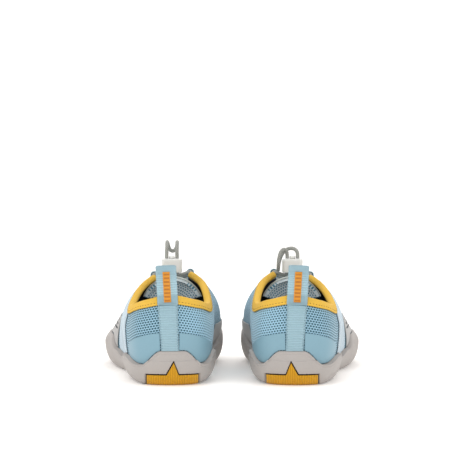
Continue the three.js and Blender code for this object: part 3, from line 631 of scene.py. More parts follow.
def maskValue(tree):
    node = tree.nodes.new("ShaderNodeAttribute")
    node.attribute_name = "patternMask"
    return node.outputs["Fac"]


def knitMaterial(name, strand, hole, holeSize):  # staggered open knit, closed where the mask is low
    look, tree, surface = shader(name, knitLook["roughness"], sheen=0.15)
    place2d = surfaceMap(tree)
    openness = maskValue(tree)
    size = mathNode(tree, "MULTIPLY", openness, holeSize)
    holes = useGroup(tree, holeGroup, Vector=place2d, Across=knitLook["across"], Up=knitLook["up"], Hole=size)
    weave = useGroup(tree, weaveGroup, Vector=place2d, Across=0.34, Up=0.45)
    cloth = useGroup(tree, grainGroup, Colour=(*linear(strand), 1), Scale=1500.0, Amount=0.5, Cloud=0.12)
    # painted shade: the strands' colour darkens in the dips of the weave
    strands = shaded(tree, cloth.outputs["Colour"], mathNode(tree, "MULTIPLY_ADD", weave.outputs["Height"], 0.3, 0.8))
    dark = mathNode(tree, "MULTIPLY", holes.outputs["Hole"], smoothBand(tree, openness, 0.02, 0.3))
    colour = mixColours(tree, dark, strands, linear(hole))
    tree.links.new(colour, surface.inputs["Base Color"])
    height = mathNode(tree, "MULTIPLY_ADD", weave.outputs["Height"], 0.25, mathNode(tree, "SUBTRACT", 1.0, dark))
    bumped(tree, surface, height, 0.35, 0.7)
    return look


def clothMaterial(name, colour, across=0.7, up=0.7, roughness=0.85, depth=0.15, grain=0.25):
    look, tree, surface = shader(name, roughness, sheen=0.2)
    weave = useGroup(tree, weaveGroup, Vector=surfaceMap(tree), Across=across, Up=up)
    cloth = useGroup(tree, grainGroup, Colour=(*linear(colour), 1), Scale=1600.0, Amount=grain, Cloud=0.1)
    # painted shade: the colour darkens in the dips of the weave
    light = mathNode(tree, "MULTIPLY_ADD", weave.outputs["Height"], 0.3, 0.82)
    tree.links.new(shaded(tree, cloth.outputs["Colour"], light), surface.inputs["Base Color"])
    bumped(tree, surface, weave.outputs["Height"], depth)
    return look


def ribbedMaterial(name, colour, pitch, roughness, depth, valleyShade=0.18):
    look, tree, surface = shader(name, roughness)
    rib = useGroup(tree, ribGroup, Vector=surfaceMap(tree), Pitch=pitch)
    weave = useGroup(tree, weaveGroup, Vector=surfaceMap(tree), Across=0.5, Up=0.5)
    cloth = useGroup(tree, grainGroup, Colour=(*linear(colour), 1), Scale=1400.0, Amount=0.2, Cloud=0.1)
    # painted shade: the colour darkens in the valleys between the ribs
    light = mathNode(tree, "MULTIPLY_ADD", rib.outputs["Height"], valleyShade, 1 - valleyShade * 0.6)
    tree.links.new(shaded(tree, cloth.outputs["Colour"], light), surface.inputs["Base Color"])
    height = mathNode(tree, "MULTIPLY_ADD", weave.outputs["Height"], 0.25, rib.outputs["Height"])
    bumped(tree, surface, height, depth)
    return look


def plainMaterial(name, colour, roughness, scale=700.0, amount=0.1, cloud=0.08, depth=0.04):
    look, tree, surface = shader(name, roughness)
    grain = useGroup(tree, grainGroup, Colour=(*linear(colour), 1), Scale=scale, Amount=amount, Cloud=cloud)
    tree.links.new(grain.outputs["Colour"], surface.inputs["Base Color"])
    bumped(tree, surface, grain.outputs["Height"], depth)
    return look


def maskedMaterial(name, colour, low, roughness):  # the second colour shows where the mask is 0
    look, tree, surface = shader(name, roughness)
    grain = useGroup(tree, grainGroup, Colour=(*linear(colour), 1), Scale=900.0, Amount=0.1, Cloud=0.1)
    share = smoothBand(tree, maskValue(tree), 0.2, 0.8)
    tree.links.new(mixColours(tree, share, linear(low), grain.outputs["Colour"]), surface.inputs["Base Color"])
    bumped(tree, surface, grain.outputs["Height"], 0.05)
    return look


colours = {
    "tongueKnitPaintedLight": "e8f6fd", "insoleCloth": "33475a", "bindingTape": "dfb23e", "counterFilm": "7b9fae",
    "ribbedWebbing": "9dbbc6", "markingFilm": "cf881e", "soleRubber": "a8a29e", "insertRubber": "cf990e",
    "ribbedFilm": "c3d2db", "overlayFilm": "a7a5a3", "stayFilm": "8aa0ab", "slitShade": "2a2f33",
    "edgeTape": "c2cbc8", "threadBrown": "8a6426", "threadBlue": "6f93a3", "boardCard": "d9d3c6",
    "stiffenerSheet": "cfcec8", "springSteel": "b8babd", "tongueHolePaintedLight": "5f98b2", "markingGapShade": "b06d18",
    "solePocketShade": "4a4142", "lace": "a2a39d", "lockPlastic": "e4e4e0",
}
knit = knitMaterial("openKnit", knitLook["strand"], knitLook["hole"], knitLook["holeSize"])
# painted light: the tongue's knit and holes are coloured much lighter than the shell's own mesh, to stand for light
# on its shaded inner face
tongueKnitPaintedLight = knitMaterial("tongueKnitPaintedLight", colours["tongueKnitPaintedLight"], colours["tongueHolePaintedLight"], 0.26)
liningCloth = clothMaterial("liningCloth", knitLook["lining"], 0.6, 0.6)
insoleCloth = clothMaterial("insoleCloth", colours["insoleCloth"], 0.9, 0.9)
bindingCloth = ribbedMaterial("bindingTape", colours["bindingTape"], 0.9, 0.8, 0.12, 0.12)
film = plainMaterial("counterFilm", colours["counterFilm"], 0.5, depth=0.03, amount=0.06)
webbing = ribbedMaterial("ribbedWebbing", colours["ribbedWebbing"], 1.3, 0.72, 0.3)
# painted shade: the marking's second colour darkens the low gaps between its raised bars
markingFilm = maskedMaterial("markingFilm", colours["markingFilm"], colours["markingGapShade"], 0.45)
# painted shade: the rubber's second colour darkens the pocket round the insert
rubber = maskedMaterial("soleRubber", colours["soleRubber"], colours["solePocketShade"], 0.62)
ribbedFilm = ribbedMaterial("ribbedFilm", colours["ribbedFilm"], 1.8, 0.5, 0.4, 0.22)
overlayFilm = plainMaterial("overlayFilm", colours["overlayFilm"], 0.5, amount=0.08)
stayFilm = plainMaterial("stayFilm", colours["stayFilm"], 0.55, amount=0.1)
# painted shade: near-black colour for the strips that stand for the overlay's slits
slitShade = plainMaterial("slitShade", colours["slitShade"], 0.8)
edgeTape = clothMaterial("edgeTape", colours["edgeTape"], 0.5, 0.5)
threadDark = plainMaterial("threadBrown", colours["threadBrown"], 0.8)
threadBlue = plainMaterial("threadBlue", colours["threadBlue"], 0.8)
boardCard = plainMaterial("boardCard", colours["boardCard"], 0.9, scale=1800.0, amount=0.25)
stiffSheet = plainMaterial("stiffenerSheet", colours["stiffenerSheet"], 0.7, amount=0.12)
springSteel = plainMaterial("springSteel", colours["springSteel"], 0.3, amount=0.05)
springSteel.node_tree.nodes["Principled BSDF"].inputs["Metallic"].default_value = 1


def laceMaterial():  # round braid: two sets of diagonal strands over and under
    look, tree, surface = shader("laceBraid", 0.8, sheen=0.1)
    split = tree.nodes.new("ShaderNodeSeparateXYZ")
    tree.links.new(surfaceMap(tree), split.inputs[0])
    strandsPerMm = 3.333
    one = mathNode(tree, "MULTIPLY", mathNode(tree, "ADD", split.outputs[0], split.outputs[1]), strandsPerMm)
    two = mathNode(tree, "MULTIPLY", mathNode(tree, "SUBTRACT", split.outputs[0], split.outputs[1]), strandsPerMm)
    height = mathNode(tree, "MAXIMUM", mathNode(tree, "SINE", one), mathNode(tree, "SINE", two))
    cloth = useGroup(tree, grainGroup, Colour=(*linear(colours["lace"]), 1), Scale=2200.0, Amount=0.5, Cloud=0.2)
    # painted shade: the colour darkens in the hollows between the braid's strands
    light = mathNode(tree, "MULTIPLY_ADD", height, 0.22, 0.82)
    tree.links.new(shaded(tree, cloth.outputs["Colour"], light), surface.inputs["Base Color"])
    bumped(tree, surface, height, 0.2)
    return look


def lockMaterial():  # cloudy white moulding
    look, tree, surface = shader("lockPlastic", 0.32, coat=0.2)
    milky = (*linear(colours["lockPlastic"]), 1)
    grain = useGroup(tree, grainGroup, Colour=milky, Scale=300.0, Amount=0.04, Cloud=0.05)
    tree.links.new(grain.outputs["Colour"], surface.inputs["Base Color"])
    surface.inputs["Subsurface Weight"].default_value = 0.35
    surface.inputs["Subsurface Radius"].default_value = (0.003, 0.003, 0.0028)
    surface.inputs["Subsurface Scale"].default_value = 0.6
    surface.inputs["Transmission Weight"].default_value = 0.12
    return look


laceBraid = laceMaterial()
lockPlastic = lockMaterial()
print("materials ready")

# cords
lock = {
    "x": -2.0, "y": 109.0, "low": 81.5, "height": 11.5, "width": 17.0, "depth": 10.0, "strand": 4.3,
    "corner": 3.4, "edge": 1.3, "bore": 1.9, "well": 2.75, "wellFloor": 3, "spring": 4.6,
}
lockTop = lock["low"] + lock["height"]
laceRadius = 1.5
loops = {  # routes of the free loops, from the middle of the lock's top
    "left": [[2.3, 0, 0.35], [2.3, 0, 3], [2.2, 0.1, 6], [2, 1.4, 9.6], [1.9, 5.2, 13], [1.6, 10.2, 13.3],
             [0.9, 14.6, 10.4], [-0.6, 16.6, 6.6], [-2.9, 17.2, 5.6], [-5, 16.4, 6.8], [-6.4, 14.2, 10.4],
             [-6.6, 10, 13.2], [-6.4, 5.1, 13], [-6.3, 1.3, 9.6], [-6.2, 0.1, 6], [-6.3, 0, 3], [-6.3, 0, 0.35]],
    "right": [[2.3, 0, 0.35], [2.3, 0, 2.6], [2, 0.6, 5.2], [0.2, 2.6, 7.6], [-3, 5, 8.4], [-7.4, 6.4, 7],
              [-11, 6.8, 2.6], [-12.8, 7, -2.5], [-13.4, 6.4, -5.6], [-13.6, 4, -8.4], [-13.7, 0.6, -9.2],
              [-13.6, -3, -7.6], [-13.5, -5.1, -4], [-13, -5.2, 0.5], [-11.4, -4.2, 6], [-8.8, -2.2, 7.8],
              [-6.8, -0.4, 5.6], [-6.3, 0, 2.6], [-6.3, 0, 0.35]],
}


def makeLoop(foot):  # the free elastic loop above the lock
    route = [[x, lock["y"] + y, lockTop + z] for x, y, z in loops[foot]]
    piece, line, length = tubePiece(foot, "loop", route, laceRadius, 20, 200, laceBraid)
    settle(piece, foot, ["lace_loop"])
    print(f"{foot} loop {length:.4f} m")


# pieces of each shoe
upperLook = {
    "wall": 1.8, "radius": 0.5, "columns": 300, "rows": 60,
    "openBack": [(0, 0.95), (1.0, 0.75), (1.9, 0.35), (3.2, 0.6), (7, 0.9)],  # by station, on the inner side
    "openUp": [(14, 0.3), (22, 1)],  # by height
}
insoleTop = 14.7


def rimZ(u):
    return onTable(lastTables["table"], u, np.ones(len(u)))[:, 2]


def topV(u):
    return np.ones(len(u))


def makeUpper(foot):
    def openness(u, v):
        s = stationOf(u)
        z = onTable(lastTables["table"], u, v)[:, 2]
        back = np.where(isOuter(u), 1.0, eased(upperLook["openBack"], s))
        return back * eased(upperLook["openUp"], z)

    piece = bandPiece(foot, "shell", knit, (0, 1), upperLook["columns"], upperLook["rows"], 0.0, topV,
                      -upperLook["wall"], 0.0, radius=upperLook["radius"], closed=True, mask=openness)
    return settle(piece, foot, ["upper_shell"])


liningLook = {  # distances from the upper's outer face, by station
    "inner": [(1.0, 5.95), (1.75, 4.6), (2.2, 2.9), (3.6, 2.5)],
    "outer": [(1.0, 3.75), (1.75, 3.45), (2.15, 1.95), (3.6, 1.9)],
    "radius": 0.35, "columns": 240, "rows": 40, "gap": 0.2, "top": 0.995, "fill": 0.4,
}


def paddingDepth(u):
    return eased(liningLook["inner"], stationOf(u))


def makeLining(foot):
    def near(u):
        return -paddingDepth(u)

    def far(u):
        return -eased(liningLook["outer"], stationOf(u))

    def low(u):
        return heightV(u, insoleTop + liningLook["gap"])

    piece = bandPiece(foot, "lining", liningCloth, (0, 1), liningLook["columns"], liningLook["rows"], low,
                      liningLook["top"], near, far, radius=liningLook["radius"], closed=True)
    return settle(piece, foot, ["collar_lining"])


bindingLook = {
    "wall": 0.85, "gap": 0.35, "drop": 6, "end": 4.0, "puff": 0.25, "leg": 0.36, "overPadding": 0.1,
    "columns": 260, "rows": 88,
    "stitchEnd": 3.9, "stitchPitch": 0.1, "stitchLine": 0.3, "stitch": (1.3, 0.7, 0.5),
}


def makeBinding(foot):
    wall, gap, leg = bindingLook["wall"], bindingLook["gap"], bindingLook["leg"]

    def shape(s, t):  # a puffed channel over the rim, outer face first
        u = (s * 2 - 1) * bindingLook["end"] / stations
        reach = paddingDepth(u) + bindingLook["overPadding"]
        low = heightV(u, rimZ(u) - bindingLook["drop"])
        rise = offset(u, topV(u), 0) - offset(u, np.full(len(u), 0.985), 0)
        rise /= np.linalg.norm(rise, axis=1, keepdims=True)
        thick = np.where(t < 0.5, 1.0, 0.0)
        turns = np.where(t < 0.5, t * 2, 2 - t * 2)  # 0 outer foot, 1 inner foot, then back inside
        grow = gap + wall * thick
        outer, inner = grow, -reach - grow
        half = (outer - inner) / 2
        angle = np.clip((turns - leg) / (1 - 2 * leg), 0, 1) * math.pi
        middle = (outer + inner) / 2
        d = np.where(turns < leg, outer, np.where(turns > 1 - leg, inner, middle + half * np.cos(angle)))
        lift = (grow + 0.5) * np.sin(angle)
        v = np.where(turns < leg, low + (1 - low) * turns / leg, 1.0)
        v = np.where(turns > 1 - leg, low + (1 - low) * (1 - turns) / leg, v)
        share = np.clip(np.where(turns < 0.5, turns, 1 - turns) / leg, 0, 1)
        puff = bindingLook["puff"] * np.sin(share * math.pi) * thick
        d = d + np.where(turns < leg, puff, np.where(turns > 1 - leg, -puff, 0))
        points = offset(u, v, d) + rise * lift[:, None]
        flat = patternPlace(u, v)
        return points, np.stack([flat[:, 1] * 0.3, flat[:, 0]], axis=1)

    piece = gridPiece(foot, "binding", bindingLook["columns"], bindingLook["rows"], shape, bindingCloth, wrapUp=True)
    closeEnds(piece)
    return settle(piece, foot, ["collar_binding"])


counterLook = {
    "strapEdge": 7.3, "end": 1.72, "top": 41.5, "fall": 14, "fallEnd": 1.85, "gap": 0.4, "near": 0.1, "far": 1.15,
    "radius": 0.45, "taper": 0.6,
}


def makeCounters(foot):
    def high(u):
        share = np.abs(u) * stations / counterLook["fallEnd"]
        return heightV(u, counterLook["top"] - counterLook["fall"] * share ** 2)

    def low(u):
        return heightV(u, edgeHeight(u) + counterLook["gap"])

    for label, side in (("lateral", 1), ("medial", -1)):
        edge = heelU(np.array([counterLook["strapEdge"] * side + 0.4]), np.array([34.0]))
        span = (abs(float(edge[0])) * side, counterLook["end"] / stations * side)
        piece = bandPiece(foot, f"counter_film_{label}", film, span, 60, 24, low, high, counterLook["near"],
                          counterLook["far"], radius=counterLook["radius"], taper=counterLook["taper"])
        settle(piece, foot, [f"counter_{label}"])


heelLean = 3.3 / 65  # strap and tab lean sideways as they rise


def leanX(z):
    return (z - 27) * heelLean


strapLook = {
    "ribs": 1.3, "ribHeight": 0.28, "topHalf": 7.6, "lowHalf": 6.7, "low": 27.2, "high": 63.2, "lift": 0.9,
    "stitchEdge": 0.86, "stitchLow": 29.5, "stitchHigh": 61.5, "stitchPitch": 2.1, "stitch": (1.4, 0.5, 0.5),
}


def makeStrap(foot):
    low, high, lift = strapLook["low"], strapLook["high"], strapLook["lift"]

    def shape(s, t):  # ribs run across; the section is a thin rounded strip
        half = strapLook["lowHalf"] + (strapLook["topHalf"] - strapLook["lowHalf"]) * t
        x = np.where(s < 0.5, s * 4 - 1, 3 - s * 4)
        front = s < 0.5
        z = low + (high - low) * t
        u = heelU(x * half + leanX(z), z)
        rib = strapLook["ribHeight"] * (0.5 + 0.5 * np.sin(2 * math.pi * z / strapLook["ribs"]))
        side = np.sqrt(np.clip(1 - np.abs(x) ** 8, 0, 1))
        ends = np.clip(np.minimum(t, 1 - t) * 35 / 0.5, 0, 1)
        rib = rib * np.clip((0.9 - np.abs(x)) / 0.06, 0, 1)
        d = np.where(front, lift + 0.75 * side * (0.35 + 0.65 * ends) + rib, lift - 0.6 * side)
        return offset(u, heightV(u, z), d), np.stack([x * half, z], axis=1)

    piece = gridPiece(foot, "strap", 40, 280, shape, webbing, wrapAcross=True)
    closeEnds(piece)
    return settle(piece, foot, ["heel_strap"])


def makeStrapStitches(foot):
    spots, ahead, above = [], [], []
    for side in (-strapLook["stitchEdge"], strapLook["stitchEdge"]):
        for z in np.arange(strapLook["stitchLow"], strapLook["stitchHigh"], strapLook["stitchPitch"]):
            half = strapLook["lowHalf"] + (strapLook["topHalf"] - strapLook["lowHalf"]) * (z - 27.2) / 35.3
            u = heelU(np.array([side * half + leanX(z)]), np.array([z]))
            v = heightV(u, np.array([z]))
            p = offset(u, v, 1.75)[0]
            q = offset(u, heightV(u, np.array([z + 0.5])), 1.75)[0]
            n = offset(u, v, 2.5)[0] - p
            spots.append(p)
            ahead.append(q - p)
            above.append(n)
    piece = stitchRow(foot, "strap_stitches", spots, ahead, above, strapLook["stitch"], threadBlue)
    return settle(piece, foot)


def makeBindingStitches(foot):
    end = bindingLook["stitchEnd"]
    us = np.arange(-end, end, bindingLook["stitchPitch"]) / stations
    low = heightV(us, rimZ(us) - bindingLook["drop"])
    v = low + (1 - low) * bindingLook["stitchLine"]
    d = bindingLook["gap"] + bindingLook["wall"] + 0.22  # just proud of the puffed tape
    p = offset(us, v, d)
    ahead = offset(us + 0.0005, v, d) - p
    above = offset(us, v, d + 1) - p
    slanted = ahead / np.linalg.norm(ahead, axis=1, keepdims=True)
    piece = stitchRow(foot, "binding_stitches", p, slanted, above, bindingLook["stitch"], threadDark)
    return settle(piece, foot)


panelLook = {  # spans are in stations from the heel, heights in mm
    "ribbed": (2.05, 3.4), "overlay": (3.55, 4.8), "inner": (9.3, 10.7), "stays": ((4.15, 6.6), (7.4, 9.85)),
    "underRim": 6.8, "overSole": 0.8, "overlayTop": 44, "innerTop": 38, "stayDrop": 2.7,
    "ribPitch": 1.8, "ribHeight": 0.25, "slits": (34.2, 37.4, 40.6), "slitHalf": 0.75,
}


def spanOf(ends):
    return ends[0] / stations, ends[1] / stations


def makePanels(foot):
    def underBinding(u):
        return heightV(u, rimZ(u) - panelLook["underRim"])

    def wave(u, v, up):
        run = patternPlace(u, v)[:, 1]
        ends = np.clip(np.minimum(up, 1 - up) * 12, 0, 1)
        return panelLook["ribHeight"] * np.sin(2 * math.pi * run / panelLook["ribPitch"]) * ends

    def lowEdge(u):
        return heightV(u, edgeHeight(u) + panelLook["overSole"])

    ribs = bandPiece(foot, "rib_panel", ribbedFilm, spanOf(panelLook["ribbed"]), 60, 170, lowEdge, underBinding,
                     0.3, 1.2, radius=0.4, relief=wave)
    settle(ribs, foot, ["ribbed_panel"])

    def overlay(name, ends, top, node):
        piece = bandPiece(foot, name, overlayFilm, spanOf(ends), 70, 50, lowEdge, lambda u: heightV(u, top),
                          0.3, 1.35, radius=0.45)
        settle(piece, foot, [node])

    overlay("slit_panel", panelLook["overlay"], panelLook["overlayTop"], "slit_overlay")
    half = panelLook["slitHalf"]
    # painted shade: dark strips laid just proud of the overlay stand for the shade inside its slits
    for i, z in enumerate(panelLook["slits"]):  # each slit starts a little further forward
        dark = bandPiece(foot, f"slit_{i + 1}", slitShade, spanOf((3.66 + 0.05 * i, 4.45 + 0.05 * i)), 30, 6,
                         lambda u, z=z: heightV(u, z - half), lambda u, z=z: heightV(u, z + half), 1.2, 1.42,
                         radius=0.1, taper=0.8)
        settle(dark, foot)
    overlay("inner_panel", panelLook["inner"], panelLook["innerTop"], "medial_overlay")
    for label, ends in zip(("lateral", "medial"), panelLook["stays"]):
        stay = bandPiece(foot, f"stay_{label}", stayFilm, spanOf(ends), 110, 14,
                         lambda u: heightV(u, rimZ(u) - panelLook["stayDrop"]), 1.0, 0.5, 1.65, radius=0.5)
        settle(stay, foot, [f"eyestay_{label}"])


tongueLook = {
    "radius": 26, "length": 85, "reach": (70, 38), "wall": 3.5, "columns": 80, "rows": 80, "fill": 0.5,
    "pad": [(0.03, 3.45), (0.22, 15), (0.45, 11), (0.8, 3.45)],  # deepest just in front of the top edge
}
tongueLine = np.array([[-2.4, 100, 79], [-2.4, 118, 75], [-2.4, 135, 68.8], [-2.8, 156, 60], [-3.0, 172, 52]], float)


def tonguePoint(a, b, depth):  # a across from -1 to 1, b down from 0 to 1
    centre = splineThrough(tongueLine, b * 4, False)
    along = splineThrough(tongueLine, np.clip(b + 0.004, 0, 1) * 4, False)
    along = along - splineThrough(tongueLine, np.clip(b - 0.004, 0, 1) * 4, False)
    up = np.stack([np.zeros(len(b)), -along[:, 2], along[:, 1]], axis=1)
    up /= np.linalg.norm(up, axis=1, keepdims=True)
    wide, narrower = tongueLook["reach"]
    angle = a * np.radians(wide - narrower * b)
    radius = tongueLook["radius"] - depth
    side = np.stack([radius * np.sin(angle), np.zeros(len(b)), np.zeros(len(b))], axis=1)
    return centre + side + up * (radius * np.cos(angle) - tongueLook["radius"])[:, None]


def tongueSheet(foot, name, material, low, high, near, far, rows, radius):
    path = crossPath(rows, (high - low) * tongueLook["length"], tongueLook["wall"], radius)

    def shape(s, t):
        a = np.sin((s - 0.5) * math.pi)
        a = a * 0.35 + (s * 2 - 1) * 0.65
        j = np.rint(t * (len(path) - 1)).astype(int)
        b = low + (high - low) * path[j, 0]
        b = b + 0.035 * a * a * (1 - b)
        thin = np.sqrt(np.clip(1 - np.abs(a) ** 24, 0, 1)) * 0.94 + 0.06
        deep = far(b) if callable(far) else far
        depth = (near + deep) / 2 + (path[j, 1] - 0.5) * (near - deep) * thin
        return tonguePoint(a, b, depth), np.stack([a * 24, b * tongueLook["length"]], axis=1)

    piece = gridPiece(foot, name, tongueLook["columns"], len(path) - 1, shape, material, wrapUp=True)
    closeEnds(piece)
    return piece


def makeTongue(foot):
    def pad(b):
        return eased(tongueLook["pad"], b)

    piece = tongueSheet(foot, "tongue_pad", tongueKnitPaintedLight, 0.02, 0.995, 0.05, pad, tongueLook["rows"], 0.9)
    settle(piece, foot, ["tongue"])
    edge = tongueSheet(foot, "tongue_piping", edgeTape, 0.002, 0.018, -0.3, 1.1, 6, 0.6)
    return settle(edge, foot, ["tongue_edge"])


tabLook = {"half": 8.0, "length": 66, "ribs": 1.3, "ribHeight": 0.12, "bend": (68.6, 72.6)}
markingLook = {"from": 0.85, "to": 6.55, "pitch": 2.9, "half": 2.8, "height": 0.34}
tabRoute = np.array([[4.6, 62.9], [4.9, 65], [5.3, 67.5], [5.9, 70.2], [6.4, 76], [6.4, 82], [6.4, 86.5], [6.6, 89.6],
                     [7.9, 91.9], [9.75, 92.5], [11.6, 91.9], [12.8, 89.8], [13.0, 86], [12.8, 81.5], [11.8, 78],
                     [9.9, 75.0], [8.0, 73.2]])


def heelBend(x, z):  # how far the heel's surface falls back to the sides
    z = np.clip(z, 30, 64.4)
    side = onTable(lastTables["table"], heelU(x, z), heightV(heelU(x, z), z))[:, 1]
    zero = np.zeros(len(x))
    return side - onTable(lastTables["table"], zero, heightV(zero, z))[:, 1]


def tabPoint(x, run, depth):  # run counts route points, depth outwards from the middle of the webbing
    centre = splineThrough(tabRoute, run, False)
    step = 0.02
    end = len(tabRoute) - 1
    ahead = splineThrough(tabRoute, np.clip(run + step, 0, end), False)
    ahead = ahead - splineThrough(tabRoute, np.clip(run - step, 0, end), False)
    ahead /= np.linalg.norm(ahead, axis=1, keepdims=True)
    y = centre[:, 0] - ahead[:, 1] * depth
    z = centre[:, 1] + ahead[:, 0] * depth
    outside = np.where(run < 5, np.clip((72.5 - z) / 3.5, 0, 1), 0)
    y = y + heelBend(x, z) * outside
    return np.stack([x + leanX(z), y, z - x * heelLean * 0.6], axis=1)


def tabBlend(piece):
    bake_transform(piece)


def makeTab(foot):
    half, length = tabLook["half"], tabLook["length"]

    def shape(s, t):
        x = np.where(s < 0.5, s * 4 - 1, 3 - s * 4)
        run = t * (len(tabRoute) - 1)
        rib = tabLook["ribHeight"] * np.sin(2 * math.pi * t * length / tabLook["ribs"])
        side = np.sqrt(np.clip(1 - np.abs(x) ** 10, 0, 1)) * 0.55 + 0.08
        depth = np.where(s < 0.5, side + rib * (np.abs(x) < 0.86), -side)
        return tabPoint(x * half, run, depth), np.stack([x * half, t * length], axis=1)

    piece = gridPiece(foot, "tab", 36, 330, shape, webbing, wrapAcross=True)
    closeEnds(piece)
    settle(piece, foot, ["pull_tab_anchor", "pull_tab_loop"], body=None)
    tabBlend(piece)
    return piece


def makeMarking(foot):  # a plain ladder of bars up the tab
    low, high, half = markingLook["from"], markingLook["to"], markingLook["half"]

    def shape(s, t):
        x = np.where(s < 0.5, s * 4 - 1, 3 - s * 4)
        run = low + (high - low) * t
        z = splineThrough(tabRoute, run, False)[:, 1]
        bar = np.clip(np.sin(2 * math.pi * z / markingLook["pitch"]) * 2.2 + 0.9, 0, 1)
        rail = np.clip((np.abs(x) - 0.72) / 0.06, 0, 1)
        ends = np.clip(np.minimum(t, 1 - t) * 60, 0, 1)
        level = np.maximum(bar, rail) * ends
        edge = np.sqrt(np.clip(1 - np.abs(x) ** 16, 0, 1))
        depth = np.where(s < 0.5, 0.86 + markingLook["height"] * level * edge, 0.5)
        # the level is also the mask: the lower gaps between bars take the darker second colour, painted shade
        return tabPoint(x * half, run, depth), np.stack([x * half, z], axis=1), level

    piece = gridPiece(foot, "marking", 56, 300, shape, markingFilm, wrapAcross=True)
    closeEnds(piece)
    settle(piece, foot, ["tab_marking"], body=None)
    tabBlend(piece)
    return piece


insertLook = {
    "shift": -1.9, "lean": -0.9, "half": 20.7, "bar": 8.4, "peak": 18.2, "peakHalf": 4.7, "room": 0.3,
    "rib": 1.33, "ribHeight": 0.22, "columns": 220, "rows": 60,
}
insertRubber = ribbedMaterial("insertRubber", colours["insertRubber"], insertLook["rib"], 0.55, 0.2, 0.3)


def insertTop(x, grow=0.0):  # height of the insert's outline at a sideways place
    x = x - insertLook["shift"]
    lean = insertLook["lean"]
    peak = insertLook["peak"] + grow * 2
    foot = insertLook["peakHalf"] + grow * 0.6
    slope = np.where(x < lean, (x + foot) / (foot + lean), (foot - x) / (foot - lean))
    bar = insertLook["bar"] + grow
    return np.where(np.abs(x) < insertLook["half"] + grow, bar + (peak - bar) * np.clip(slope, 0, 1), -1.0)


def wallU(x, z):  # the u near the heel at which the sole's wall is x to the side
    side = np.where(x < 0, -1.0, 1.0)
    low = np.zeros(len(x))
    high = np.full(len(x), 1.9 / stations)
    for _ in range(16):
        middle = (low + high) / 2
        near = np.abs(wallPoint(side * middle, z)[:, 0]) < np.abs(x)
        low = np.where(near, middle, low)
        high = np.where(near, high, middle)
    return side * (low + high) / 2


def spine(u, z):  # the middle line under the foot, where the two sides meet
    near = onRing(lastTables["wide"], u)[:, 1]
    other = onRing(lastTables["wide"], 1 - u)[:, 1]
    y = np.clip((near + other) / 2, 16, 240)
    share = np.clip(y / last["length"], 0, 1)
    return np.stack([-4 * share * share * (3 - 2 * share), y, np.full(len(u), z)], axis=1)


soleLook = {
    "ribPitch": 3.2, "ribDepth": 0.75, "groove": 0.85, "pocket": 3.1, "treadPitch": 9.0,
    "treadDepth": 1.3, "edgeLine": 0.35, "edgeRadius": 0.8,
    "ribsOut": [(3.3, 0), (3.6, 1), (6.0, 1), (6.4, 0)],  # by station
    "ribsIn": [(3.2, 0), (3.5, 1), (5.6, 1), (6.0, 0)],
}


